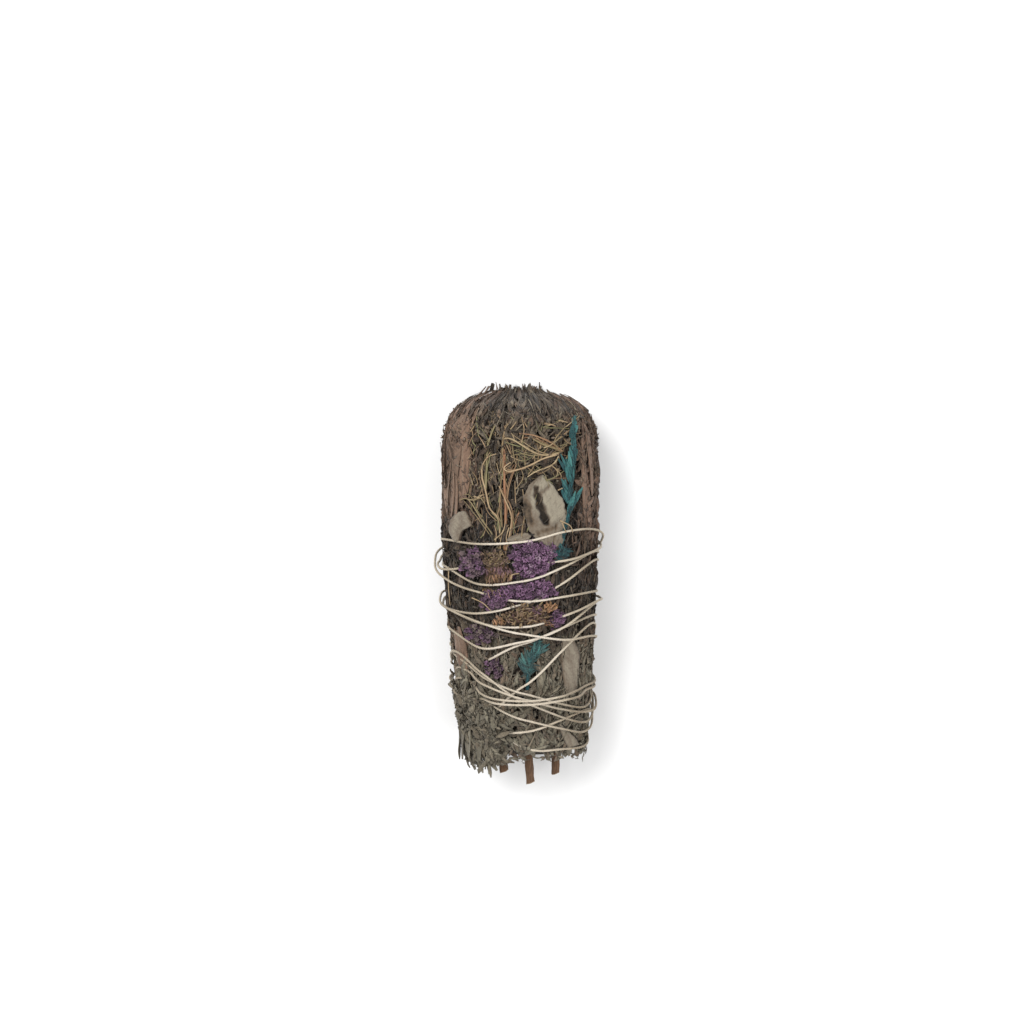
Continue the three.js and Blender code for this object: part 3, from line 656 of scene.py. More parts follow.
def stringFront():
    # the places of the strands that show on the front, as seen from above
    phi, y, depth, lifts = stringRoute()
    path = stringPlace(phi, y, depth, lifts)
    shown = (np.sin(phi) > 0.2) & (depth < 0.8)
    fine = np.linspace(0, 1, len(phi) * 4)
    path = curveThrough(path, fine)[:, :2]
    return path[np.interp(fine * (len(phi) - 1), np.arange(len(phi)), shown.astype(float)) > 0.9]


strands = stringFront()


def pressedAt(x, y):
    # 1 under a strand, fading to 0 beside it
    near = np.hypot(x[:, None] - strands[:, 0], y[:, None] - strands[:, 1]).min(1)
    return 1 - smooth(near, 1.0, 2.6)


# where the dressing lies, as places and reaches, so that the leaves stay low beneath it
dressed = [
    [13, 38, 10, 18], [6, 17, 10, 9], [3, 1.5, 11, 5], [-21, 14, 4, 6], [-12, -3.5, 5, 4],
    [-18, -20, 6, 4], [17.2, -13, 3.2, 4.5], [-11.5, -36, 3.5, 4], [-11, 9.5, 8, 8.5],
    [4, -10.5, 12, 5.5], [4.5, -31, 4.5, 12], [22.5, 50, 5, 28], [22.5, -36, 3.5, 12],
    [22.5, -70, 4, 5], [-25.8, 32, 4.5, 7], [-1, 26.5, 5, 2.5], [-27.5, -26, 4.5, 11],
]


def dressedAt(x, y):
    # 1 where a piece of the dressing lies, fading to 0 outside its reach
    cover = np.zeros(np.broadcast(x, y).shape)
    for placeX, placeY, reachX, reachY in dressed:
        off = np.hypot((x - placeX) / reachX, (y - placeY) / reachY)
        cover = np.maximum(cover, 1 - smooth(off, 0.75, 1.15))
    return cover


# where the sage's colours change, as ranges over which each change comes in
tint = {
    "low": (14, 44), "upper": (-28, -10), "waist": (30, 52), "front": (20, 30), "leftX": (17, 24),
    "leftY": (24, 34), "rightX": (24, 28), "rightY": (0, 20), "patchX": (24, 28), "patchY": -32,
    "patchReach": (-12, -6),
}


def sageTraits(rng, seen, tones):
    # tone, rust and olive of leaves by where they lie: darker in the middle, grey-olive and evened
    # towards the base, partly the leaves' own grey-olive and partly a painted haze of reflected light,
    # and rust along the upper left and right and in a patch at the lower left
    x, y, z = seen[:, 0], seen[:, 1], seen[:, 2]
    count = len(x)
    low = smooth(-y, *tint["low"])
    upper = smooth(y, *tint["upper"])
    waist = upper * (1 - smooth(y, *tint["waist"]))
    onFront = smooth(z, *tint["front"])
    left = smooth(-x, *tint["leftX"]) * smooth(y, *tint["leftY"])
    right = smooth(x, *tint["rightX"]) * smooth(y, *tint["rightY"])
    patch = smooth(-x, *tint["patchX"]) * smooth(-np.abs(y - tint["patchY"]), *tint["patchReach"])
    # grey-olive towards the base: partly the leaves' own colour, partly painted haze of reflected light
    olive = np.clip(rng.uniform(-0.4, 0.35, count) + low * rng.uniform(0.5, 1.1, count), 0, 1)
    olive = olive * (1 - 0.6 * upper)
    rust = np.clip((left + right + patch) * 0.8 * onFront + rng.uniform(-0.7, 0.45, count), 0, 1)
    tone = rng.uniform(*tones, count) - (0.12 * upper + 0.34 * waist) * onFront
    # painted haze of reflected light: near the base, front tones are drawn towards one paler tone and
    # evened
    tone = tone + (0.78 - tone) * 0.45 * low * onFront
    return {"tone": tone, "olive": olive * (1 - rust), "rust": rust}


# for each kind of leaf its count in a sprig, the range of its sizes and of its root's height over
# the skin, its mesh's columns and stations, how it curls, turns aside and rises, and its tones
leaves = {
    "broad": {
        "count": 150, "length": (12, 20), "width": (4.5, 7.5), "height": (-1.9, 0.2),
        "grid": (5, 6), "thick": 0.4, "curl": (0.4, 1.8), "turn": 0.4, "rise": 0.6,
        "tones": (0.1, 0.75),
    },
    "small": {
        "count": 620, "length": (5, 11), "width": (2, 4.4), "height": (-0.8, 1.3), "grid": (4, 5),
        "thick": 0.3, "curl": (0.5, 2.4), "turn": 0.6, "rise": 0.8, "tones": (0.1, 0.9),
    },
    "crumbs": {
        "count": 1200, "length": (1.3, 4), "width": (0.7, 2), "height": (0.1, 1.9), "grid": (3, 3),
        "thick": 0.3, "curl": (0.2, 1.5), "turn": 1.3, "rise": 0.3, "wave": (0.0, 0.1),
        "tones": (0.0, 1.1),
    },
    "fibres": {
        "count": 170, "length": (7, 24), "width": (0.3, 0.5), "height": (0.6, 2.0), "grid": (3, 6),
        "thick": 0.35, "curl": (0.1, 0.3), "turn": 0.5, "rise": 0.2, "tones": (0.5, 1.2),
    },
}


# the share of a sector that a sprig's leaves spread over, how far up and down they root and reach,
# how low they lie beneath the dressing, and where they grow looser
sprig = {
    "spread": 0.53, "lowest": -83.0, "highest": 84.0, "tipLimit": 93.0, "pressed": -1.2,
    "rootBelow": 4.0, "loose": (40, 75),
}


def sprigLeaves(rng, look, middle):
    # leaves of one kind rooted at random over a sprig's share of the skin, headed about along the
    # bundle and kept low beneath the dressing
    count = look["count"]
    phi = middle + sector * sprig["spread"] * rng.uniform(-1, 1, count)
    y = rng.uniform(sprig["lowest"], sprig["highest"], count)
    seen = skinPoint(phi, y, 0.0)
    covered = (dressedAt(seen[:, 0], seen[:, 1] + sprig["rootBelow"]) > 0.3) & (np.sin(phi) > 0.1)
    height = rng.uniform(*look["height"], count)
    pressed = np.minimum(height, sprig["pressed"] - 0.5 * rng.random(count))
    height = np.where(covered, pressed, height)
    length = rng.uniform(*look["length"], count)
    y = np.minimum(y, sprig["tipLimit"] - length)
    shape = leafShape(rng, length, look)
    rise = rng.uniform(-0.3, 1.0, count) * look["rise"]
    rise = rise + smooth(y, *sprig["loose"]) * rng.uniform(0, 2.0, count)
    rise = np.where(height < -1.1, 0.0, rise)
    points = layOnSkin(shape, phi, y, height, rng.normal(0, look["turn"], count), rise)
    return shells(points, shape[3], **sageTraits(rng, seen, look["tones"]))


heart = {
    "stations": 40, "columns": 15, "inset": 1.9, "gap": 0.4, "topClosing": (76, 86),
    "baseClosing": (74, 80),
}


def sprigHeart(middle):
    # the pressed mass under the leaves: a wedge of the bundle, its outline carried along the length,
    # kept dark as painted shade between the leaves
    y = np.linspace(0, 1, heart["stations"])
    y = bundle["baseY"] + (bundle["crownY"] - bundle["baseY"]) * y
    columns = heart["columns"]
    phi = middle + sector * np.linspace(-0.5, 0.5, columns)
    closing = smooth(y, *heart["topClosing"]) * 6 + smooth(-y, *heart["baseClosing"]) * 3
    outer = skinPoint(phi[None, :], y[:, None], -heart["inset"] - closing[:, None])
    axis = np.stack([centreXAt(y), y, centreZAt(y)], -1)[:, None, :]
    inner = axis + (outer[:, [columns // 2]] - axis) * 0.05
    side = outer[:, [0]] - outer[:, [-1]]
    side = side / np.linalg.norm(side, axis=-1, keepdims=True)
    gap = heart["gap"] / 2
    shift = np.concatenate([np.linspace(-gap, gap, columns), [0]])[None, :, None]
    ring = np.concatenate([outer, inner], 1) + shift * side
    # the heart is kept near black: painted shade in the gaps between the leaves
    return shells(restOnGround(ring)[None], tone=0.05)


crown = {
    "long": {
        "count": 60, "length": (13, 22), "width": (4, 8), "grid": (5, 7), "thick": 0.35,
        "curl": (0.5, 1.8), "wave": (0.2, 0.8), "tones": (0.1, 0.85),
    },
    "tuft": {
        "count": 90, "length": (4, 8), "width": (2, 4), "grid": (4, 5), "curl": (0.5, 2.0),
        "tones": (0.1, 0.9),
    },
    "deepest": 15.0, "rootY": 75.5, "tipY": 96.0,
}


def crownLeaves(rng, middle):
    # leaf tips that close the rounded top, standing out of the bundle's end at several depths
    look = crown["long"]
    count = look["count"]
    shape = leafShape(rng, rng.uniform(*look["length"], count), look)
    phi = middle + sector * 0.5 * rng.uniform(-1, 1, count)
    depth = -1 - crown["deepest"] * rng.random(count) ** 0.8
    y = crown["rootY"] + rng.uniform(-4, 1.5, count)
    points = layOnSkin(shape, phi, y, depth, rng.normal(0, 0.3, count), rng.uniform(-1, 2, count))
    return shells(points, shape[3], **sageTraits(rng, skinPoint(phi, y, 0.0), look["tones"]))


def crownTufts(rng, middle):
    # short leaves over the rounded top, headed all ways, that hide where the long ones meet
    look = crown["tuft"]
    count = look["count"]
    length = rng.uniform(*look["length"], count)
    shape = leafShape(rng, length, look)
    phi = middle + sector * 0.5 * rng.uniform(-1, 1, count)
    y = crown["tipY"] - 14 * rng.random(count) ** 1.4 - length
    depth = rng.uniform(-2, 1, count) - 9 * smooth(y, 82, 92)
    points = layOnSkin(shape, phi, y, depth, rng.normal(0, 1.0, count), rng.uniform(0, 2, count))
    return shells(points, shape[3], **sageTraits(rng, skinPoint(phi, y, 0.0), look["tones"]))


# loose leaves of the lower left that lie over the string, grown from the same places as in the
# solids: angle, y, length, up or down and flare; and the finer ones heaped round them
skirt = {
    "leaves": [
        [124, -58, 26, -1, 6], [135, -55, 28, -1, 6.5], [147, -54, 30, -1, 7.5],
        [158, -56, 28, -1, 8.5], [169, -60, 25, -1, 9],
    ],
    "leaf": {
        "grid": (9, 18), "width": (7, 9), "thick": 0.4, "curl": (0.3, 0.8), "twist": 0.3,
        "roll": 0.15,
    },
    "heaps": [
        {"count": 420, "length": (4, 10), "width": (1.8, 4), "grid": (4, 5), "low": -0.5},
        {"count": 900, "length": (1.4, 4), "width": (0.7, 2), "grid": (3, 3), "low": 1.5},
    ],
    "heapLeaf": {"thick": 0.35, "curl": (0.3, 1.8)},
    "heapX": (-30, -10), "heapLow": -83.0, "heapTop": (-44.0, -58.0), "highest": 4.8,
}


def skirtLeaves(rng):
    # the large ones, each laid from its own place and flared up at its tip
    angle, y, length, way, flare = np.array(skirt["leaves"], float).T
    count = len(y)
    shape = leafShape(rng, length, skirt["leaf"])
    heading = np.where(way > 0, 0.0, np.pi)
    points = layOnSkin(shape, np.radians(angle), y, np.full(count, 2.0), heading, flare - 3)
    tone = rng.uniform(0.2, 0.5, count)
    return shells(points, shape[3], tone=tone, olive=rng.uniform(0.4, 0.8, count))


def skirtHeap(rng, look):
    # small grey-olive leaves over the string's left ends, in the corner below a slanting line
    count = look["count"]
    x = rng.uniform(*skirt["heapX"], count)
    top = np.interp(x, skirt["heapX"], skirt["heapTop"])
    y = skirt["heapLow"] + (top - skirt["heapLow"]) * rng.random(count)
    shape = leafShape(rng, rng.uniform(*look["length"], count), {**skirt["heapLeaf"], **look})
    height = look["low"] + (skirt["highest"] - look["low"]) * rng.random(count) ** 0.7
    heading = rng.normal(0, 0.9, count) + rng.choice([0, np.pi], count)
    points = layOnSkin(shape, frontAngle(x, y), y, height, heading, rng.uniform(-0.5, 0.6, count))
    tone = rng.uniform(0.3, 0.9, count)
    return shells(points, shape[3], tone=tone, olive=rng.uniform(0.2, 0.9, count))


# long smooth red-brown leaves up the upper left side, the right one and at the lower left: the
# angles and y of their roots, and the ranges of their sizes and heights
bark = {
    "left": {
        "roots": [
            [159, 26], [151, 30], [143, 27], [154, 38], [138, 40], [161, 44], [147, 46], [133, 44],
            [156, 50],
        ],
        "length": (34, 44), "width": (9, 13), "height": (0.3, 1.7),
    },
    "right": {
        "roots": [[36, 12], [29, 22], [38, 34], [30, 44]],
        "length": (34, 44), "width": (4, 6), "height": (0.3, 1.7),
    },
    "low": {
        "roots": [[155, -41], [148, -42], [143, -39], [152, -36], [147, -37]],
        "length": (19, 25), "width": (8, 10), "height": (0.8, 1.5),
    },
    "leaf": {
        "grid": (11, 20), "thick": 0.4, "curl": (0.1, 0.5), "twist": 0.25, "roll": 0.1,
        "wave": (0.1, 0.3),
    },
    "tipLimit": 90.0,
}


def barkLeaves(rng, side):
    # laid straight up the bundle, each a little higher than the one before it
    look = bark[side]
    angle, y = np.array(look["roots"], float).T
    count = len(y)
    length = np.minimum(rng.uniform(*look["length"], count), bark["tipLimit"] - y)
    shape = leafShape(rng, length, {**bark["leaf"], **look})
    height = np.linspace(*look["height"], count)
    turn = rng.normal(0, 0.07, count)
    points = layOnSkin(shape, np.radians(angle), y, height, turn, np.zeros(count))
    tone = rng.uniform(0.4, 0.7, count)
    return shells(points, shape[3], tone=tone, rust=rng.uniform(0.7, 1.0, count))


def titled(name):
    # a node's name as the end of a piece's name
    return "".join(word.title() for word in name.split("_"))


def sageSprig(index):
    # a heart under its leaves and crown, with the sprig's own bark and skirt where it has them
    name = bundle["sprigs"][index]
    rng = np.random.default_rng(200 + index)
    middle = np.pi / 2 + index * sector
    batches = [sprigHeart(middle)]
    batches += [sprigLeaves(rng, look, middle) for look in leaves.values()]
    batches += [crownLeaves(rng, middle), crownTufts(rng, middle)]
    if name == "front_left":
        batches += [barkLeaves(rng, "left"), skirtLeaves(rng)]
        batches += [skirtHeap(rng, look) for look in skirt["heaps"]]
        batches.append(barkLeaves(rng, "low"))
    if name == "front_right":
        batches.append(barkLeaves(rng, "right"))
    addPiece("sageSprig" + titled(name), batches, "sage", "sage_leaf", "sage_sprig_" + name)


for index in range(len(bundle["sprigs"])):
    sageSprig(index)
print("sage sprigs made")

stems = {
    "radius": 1.8, "share": 0.55,
    "ends": [-95.5, -91.0, -93.5, -90.0, -94.5, -92.0],
    "innerY": -60.0,
}


def cutStems():
    # four-ribbed woody stems, each a rounded square carried along its line to a slanted cut end
    batches = []
    around = np.linspace(0, 2 * np.pi, 24, endpoint=False)
    square = 1 + 0.1 * np.cos(4 * around)
    for index, end in enumerate(stems["ends"]):
        angle = np.pi / 2 + index * sector
        rng = np.random.default_rng(300 + index)
        y = end + (stems["innerY"] - end) * np.linspace(0, 1, 30) ** 1.3
        share = np.array([0.02, 0.6, 0.9])
        line = skinPoint(angle, np.concatenate([[end] * 3, y]), 0.0, stems["share"])
        size = stems["radius"] * (1 + 0.05 * np.sin(y * 0.9 + index))
        size = np.concatenate([share * size[0], size])[:, None]
        knots = 1 + 0.12 * np.exp(-((line[:, 1:2] - end - 9) / 1.6) ** 2)
        radius = size * square[None, :] * knots
        dx = radius * np.cos(around + index)
        dz = radius * np.sin(around + index)
        slant = 0.35 * dx * (1 - smooth(line[:, 1:2], end, end + 6))
        ring = np.stack([line[:, :1] + dx, line[:, 1:2] + slant, line[:, 2:] + dz], -1)
        tone = np.concatenate([np.full(3, 0.9), [0.55], np.zeros(29)])[None, :, None]
        batches.append(shells(ring[None], tone=tone * rng.uniform(0.85, 1.0)))
    nodes = ["sprig_stem_" + name for name in bundle["sprigs"]]
    addPiece("cutStems", batches, "stem", "sage_stem", *nodes)


cutStems()

paleThick = 0.5
# each leaf's margins as [x, y] places from its foot to its tip, its height over the skin and its mesh
paleLeaves = {
    "Curled": {
        "left": [[13.6, 18.6], [8.2, 24], [4.2, 29.2], [1.6, 37], [1.4, 44.8], [4.2, 51], [9.2, 55.4]],
        "right": [
            [15, 18.9], [19.8, 23], [22.4, 29.7], [22.2, 36], [19.6, 43.5], [15, 50.5], [10.4, 55.4],
        ],
        "height": 1.0, "columns": 44, "stations": 64,
    },
    "Left": {
        "left": [[-29.4, 23.4], [-31, 28], [-30.6, 33], [-28.2, 36.8], [-25.2, 38.1]],
        "right": [[-27, 23.4], [-25.8, 28.6], [-21.8, 31.4], [-22.6, 34.8], [-24.6, 38]],
        "height": 2.2, "columns": 16, "stations": 24,
    },
    "Upper": {
        "left": [[-6.4, 25.4], [-3.5, 27.2], [0, 28.4], [3, 28.6], [4.8, 27.4]],
        "right": [[-6.2, 24.8], [-3.2, 23.8], [0.4, 23.6], [3.4, 24.6], [4.9, 26.6]],
        "height": 1.4, "columns": 14, "stations": 20,
    },
    "Long": {
        "left": [[21.4, -50], [20.2, -44], [19.2, -36], [18.6, -29], [19.6, -22]],
        "right": [[24.6, -50], [26.4, -44], [26.8, -36], [26.6, -29], [24.4, -22]],
        "height": 1.5, "columns": 16, "stations": 34,
    },
    "Low": {
        "left": [[17.8, -64], [18.8, -68], [20.4, -72], [22, -76]],
        "right": [[18.8, -63.6], [21.6, -67], [24.8, -71], [27.2, -75.6]],
        "height": 1.5, "columns": 14, "stations": 22,
    },
}
# places on the curled leaf are across, from -1 at its left margin to 1, and along, from 0 to 1
curledLook = {
    "slitFoot": [-0.08, 0.37], "slitTop": [-0.48, 0.84], "slitHalf": 0.19, "slitDepth": 2.8,
    "rim": 0.7,
    "creases": [
        [[-0.1, 0.73], [0.66, 0.83], 0.05, 0.9],
        [[-0.3, 0.66], [-0.05, 0.8], 0.05, 0.5],
        [[0.3, 0.36], [0.9, 0.52], 0.035, 0.4],
        [[-0.7, 0.3], [0.2, 0.36], 0.05, 0.6],
        [[0.1, 0.1], [0.35, 0.4], 0.06, 0.5],
        [[0.72, 0.3], [0.94, 0.56], 0.04, 0.6],
    ],
}


def creaseAt(c, s, start, end, wide):
    # 1 along a line between two places of a leaf, fading to 0 at its sides and ends
    run = np.array(end) - np.array(start)
    along = ((c - start[0]) * run[0] + (s - start[1]) * run[1]) / (run @ run)
    t = np.clip(along, 0, 1)
    off = np.hypot(c - start[0] - t * run[0], 2 * (s - start[1] - t * run[1]))
    return np.exp(-((off / wide) ** 2))


def curledHeight(c, s):
    # the slit opens between two raised rims and is darkened with painted shade over the leaf's browner
    # underside, the left margin is lifted and browned, and the foot is duller and creased, each crease
    # darkened with painted shade
    foot, top = curledLook["slitFoot"], curledLook["slitTop"]
    way = np.clip((s - foot[1]) / (top[1] - foot[1]), 0, 1)
    line = foot[0] + (top[0] - foot[0]) * way**1.7 + 0.02 * np.sin(40 * s)
    gaping = smooth(way, 0.0, 0.12) * (1 - smooth(way, 0.86, 1.0)) * (1 - 0.35 * way)
    off = (c - line) / (curledLook["slitHalf"] * (1 + 0.2 * np.sin(55 * s + 1)))
    slit = np.exp(-(off**6)) * gaping
    rims = np.exp(-((np.abs(off) - 1.8) ** 2)) * gaping
    lifted = 2.4 * np.maximum(0, -c - 0.1) ** 2 * smooth(s, 0.3, 0.6)
    dome = (1 - c**2) * smooth(s, 0.0, 0.3)
    height = dome + lifted + curledLook["rim"] * rims - curledLook["slitDepth"] * slit
    browned = smooth(-c, 0.55, 0.72) * smooth(s, 0.3, 0.5)
    brownedTop = smooth(s, 0.8, 0.95) * smooth(-c, -0.2, 0.3)
    dull = 1 - smooth(s, 0.32, 0.5) * smooth(s + 0.3 * c, 0.3, 0.5)
    # painted shade in the slit, over the underside's browner colour
    tone = 0.98 - 1.2 * slit - 0.42 * np.maximum(browned, brownedTop) - 0.4 * dull
    tone = tone - 0.5 * smooth(c, 0.9, 1.0)
    for start, end, wide, depth in curledLook["creases"]:
        crease = creaseAt(c, s, start, end, wide)
        height = height - depth * crease
        # painted shade along each crease
        tone = tone - 0.5 * depth * crease
    return height, tone


def paleLeafHeight(kind, c, s):
    # gentle waves and crumples, over a low dome or the curled leaf's own form, with painted light and
    # shade of the crumples in the tone
    wave = 0.25 * np.sin(9 * s + 2 * c) + 0.12 * np.sin(23 * s + 5 * c)
    crumple = 0.1 * np.sin(31 * s - 9 * c) * np.sin(17 * c + 12 * s)
    if kind == "Curled":
        height, tone = curledHeight(c, s)
    else:
        height = 0.5 * (1 - c**2)
        tone = 0.66 - 0.35 * smooth(np.abs(c), 0.75, 1.0) + 0.1 * np.sin(8 * s + 6 * c)
    # the crumple added to the tone is painted light and shade
    return height + wave + crumple, tone + crumple


def paleLeaf(kind):
    # the place across runs between two margins, the height comes from the function above, and the
    # under side lies a leaf's thickness below
    look = paleLeaves[kind]
    s = np.linspace(0.01, 0.99, look["stations"])
    across, side = leafRim(look["columns"])
    left = curveThrough(look["left"], s)[:, None, :]
    right = curveThrough(look["right"], s)[:, None, :]
    ragged = 0.03 * np.sin(40 * s) + 0.02 * np.sin(93 * s + 1)
    share = 0.5 + 0.5 * across[None, :, None] * (1 + ragged[:, None, None])
    at = left + (right - left) * share
    rise, tone = paleLeafHeight(kind, across[None, :], s[:, None])
    face = side * paleThick / 2
    points = frontPoint(at[..., 0], at[..., 1], look["height"] + rise + face)
    return shells(points[None], across, tone=np.broadcast_to(tone, points.shape[:2])[None])


for kind in paleLeaves:
    addPiece("paleLeaf" + kind, [paleLeaf(kind)], "pale", "pale_leaf", "pale_leaf_" + kind.lower())
print("pale leaves made")


def tube(path, radius, outward, ring, turns=0.0, profile=1.0, **traits):
    # a ring carried along a path, turned round it by turns and shaped by a profile
    ahead = np.gradient(path, axis=0)
    ahead /= np.linalg.norm(ahead, axis=1, keepdims=True)
    up = outward - (outward * ahead).sum(1, keepdims=True) * ahead
    up /= np.linalg.norm(up, axis=1, keepdims=True)
    aside = np.cross(ahead, up)
    count = len(path)
    around = np.linspace(0, 2 * np.pi, ring, endpoint=False) + np.reshape(turns, (-1, 1))
    reach = np.broadcast_to(radius, count)[:, None] * np.broadcast_to(profile, ring)
    points = path[:, None, :]
    points = points + (reach * np.cos(around))[..., None] * aside[:, None, :]
    points = points + (reach * np.sin(around))[..., None] * up[:, None, :]
    shown = {name: np.broadcast_to(value, count)[None, :, None] for name, value in traits.items()}
    return shells(points[None], **shown)


# for each group its straws as lines of [x, y, height] places, their radius, tone, rust and olive,
# its loose bits, and how many thin stalks are strewn over a stretch of the front
straws = {
    "Fan": {
        "seed": 41,
        "lines": [
            [[19.4, 65.5, 0.8], [8.6, 64.7, 2.2], [-3.4, 71.6, 2.6], [-7.1, 71.9, 2.4]],
            [[20, 66, 1], [10.4, 69.2, 2.4], [5.6, 71.9, 3.2]],
            [[19.4, 66, 1.2], [14, 70, 2], [6.2, 73.4, 2.2], [-0.5, 74.3, 2]],
            [[19, 65, 1], [15.2, 70.7, 3], [20, 77.6, 3.6]],
            [
                [19.4, 65, 1], [10.4, 62.9, 2.6], [4.4, 59.9, 3.2], [-2.2, 57.5, 3.2],
                [-5.8, 57.2, 3.4], [-7, 58.7, 3.6], [-5.2, 60.5, 3.4], [-4.1, 61.1, 3.2],
            ],
            [[18, 65.5, 1], [6.2, 64.2, 2], [0.8, 65.1, 2.2], [-4, 64.2, 2]],
            [[18.5, 65.5, 0.8], [16, 61.5, 2.4], [12.8, 59.3, 3.2], [6.8, 56.9, 3], [3.2, 54.5, 2.6]],
            [[14, 59.6, 2.8], [17.6, 56.3, 2.6], [18.8, 53.9, 2]],
        ],
        "looks": [
            [0.52, 0.75, 0.1, 0.2], [0.45, 0.5, 0.3, 0.5], [0.5, 0.4, 0.4, 0.0], [0.3, 0.45, 0.1, 0.3],
            [0.42, 0.85, 0.2, 0.0], [0.3, 0.4, 0.1, 0.5], [0.38, 0.95, 0.0, 0.0], [0.3, 0.6, 0.1, 0.2],
        ],
        "bits": [[[17.2, 80.2, 2.4], [21.2, 79.2, 2.6]], [[17, 48, 2.2], [19.2, 49, 2.4]]],
        "strewn": {"count": 60, "x": (-8, 22), "y": (52, 80), "aim": 0.3, "spread": 0.9},
    },
    "Bunch": {
        "seed": 42,
        "lines": [
            [[-7, 20, -0.3], [-6.5, 37, 1.6], [-6.8, 48.5, 2.2], [-7.2, 60, 2], [-7, 67, 1.6]],
            [[-6.5, 20, -0.3], [-3.8, 34.6, 2.2], [-6.5, 43.6, 2.8], [-9.4, 50.3, 2.8]],
            [[-7.5, 20, -0.3], [-6, 36, 0.9], [-5.2, 48.4, 2.8], [-1.7, 60.5, 3.2]],
            [
                [-7.2, 20, -0.3], [-8.6, 35, 1.2], [-9.2, 44, 1.6], [-8.2, 56, 1.2], [-7.6, 72.5, 2.2],
                [-5.2, 79.2, 2.6],
            ],
            [[-6.8, 20, -0.3], [-3, 31, 0.8], [-0.5, 38, 1.8]],
        ],
        "looks": [
            [0.65, 0.45, 0.75, 0.0], [0.42, 0.75, 0.25, 0.0], [0.35, 0.45, 0.4, 0.1],
            [0.4, 0.5, 0.3, 0.3], [0.4, 0.45, 0.6, 0.0],
        ],
        "bits": [
            [[-4, 7.1, 5.2], [-3.3, 9.3, 5.4], [-0.5, 9.9, 5.3]],
            [[17.5, 34, 3.6], [22, 31.4, 3.4], [23.4, 28, 2.6]],
            [[18.6, 33, 3.2], [20.4, 28.4, 3]],
            [[-5, 31, 1.6], [-6.2, 26, 2], [-5.4, 22, 1.6]],
        ],
        "strewn": {"count": 60, "x": (-12, 4), "y": (22, 78), "aim": 1.55, "spread": 0.25},
    },
    "Loop": {
        "seed": 43,
        "lines": [
            [
                [-9.2, 20, -0.3], [-9.4, 30.5, 1.2], [-10.4, 35.8, 1.8], [-13.7, 40, 2.4],
                [-15.5, 48.4, 2.8], [-17, 54.5, 2.8], [-16.7, 59.9, 2.6], [-14.3, 63.5, 2.4],
                [-10.7, 65, 2],
            ],
            [
                [-9.8, 20, -0.3], [-12.5, 27, 0.8], [-17.9, 34.6, 1.6], [-23.3, 43.4, 2.2],
                [-26.9, 43, 2],
            ],
            [[-23.3, 43.4, 2.2], [-19.7, 43.6, 2.6], [-18.5, 45.4, 2.8], [-16, 46, 2.4]],
            [[-15.5, 48.4, 2.4], [-14.9, 66.5, 1.6], [-13.7, 71.9, 2], [-11.3, 77.9, 2.4]],
        ],
        "looks": [
            [0.42, 0.8, 0.15, 0.0], [0.38, 0.55, 0.05, 0.4], [0.3, 0.7, 0.0, 0.2],
            [0.55, 0.5, 0.1, 0.6],
        ],
        "bits": [
            [[-20.8, -2.4, 4.4], [-16, -4.6, 4.8], [-12.7, -8, 4.6]],
            [[-30.8, 10.8, 2.6], [-30.6, 1.5, 3], [-30.2, -7.5, 2.6]],
            [[-20.6, 45.2, 2.6], [-18.6, 44.6, 2.8], [-16.4, 46.4, 2.6]],
        ],
        "strewn": {"count": 50, "x": (-24, -6), "y": (24, 80), "aim": 1.6, "spread": 0.4},
    },
}


def frontPath(line, places):
    # a line of [x, y, height] places laid on the front, and the way out of the skin along it
    x, y, height = curveThrough(line, places).T
    path = frontPoint(x, y, height)
    return path, frontPoint(x, y, height + 1) - path


def straw(line, radius, tone, rust, olive):
    # a thin stalk along a line of [x, y, height] places, with a swollen joint and a tapering end
    length = np.linalg.norm(np.diff(np.asarray(line), axis=0), axis=1).sum()
    s = np.linspace(0, 1, max(8, int(length)))
    path, outward = frontPath(line, s)
    joint = 1 + 0.35 * np.exp(-(((s - 0.42) / 0.015) ** 2))
    size = radius * joint * (1 - 0.35 * s) * (1 + 0.08 * np.sin(31 * s))
    return tube(path, size, outward, 6, tone=tone + 0.12 * np.sin(13 * s), rust=rust, olive=olive)


def strewnStraws(rng, look):
    # short thin bent stalks and blades at random places, mostly headed one way
    batches = []
    for index in range(look["count"]):
        start = np.array([rng.uniform(*look["x"]), rng.uniform(*look["y"])])
        aim = look["aim"] + rng.normal(0, look["spread"])
        length = rng.uniform(3, 13)
        ahead = np.array([np.cos(aim), np.sin(aim)]) * length / 2
        bend = np.array([-ahead[1], ahead[0]]) * rng.normal(0, 0.2)
        end = np.minimum(start + 2 * ahead, [40, 82])
        height = rng.uniform(0.6, 2.6) + rng.normal(0, 0.3, 3)
        line = np.column_stack([[start, start + ahead + bend, end], height])
        olive = rng.choice([0.0, 0.3, 0.9])
        radius, tone, rust = rng.uniform(0.12, 0.3), rng.uniform(0.2, 0.9), rng.uniform(0, 0.4)
        batches.append(straw(line, radius, tone, rust, olive))
    return batches


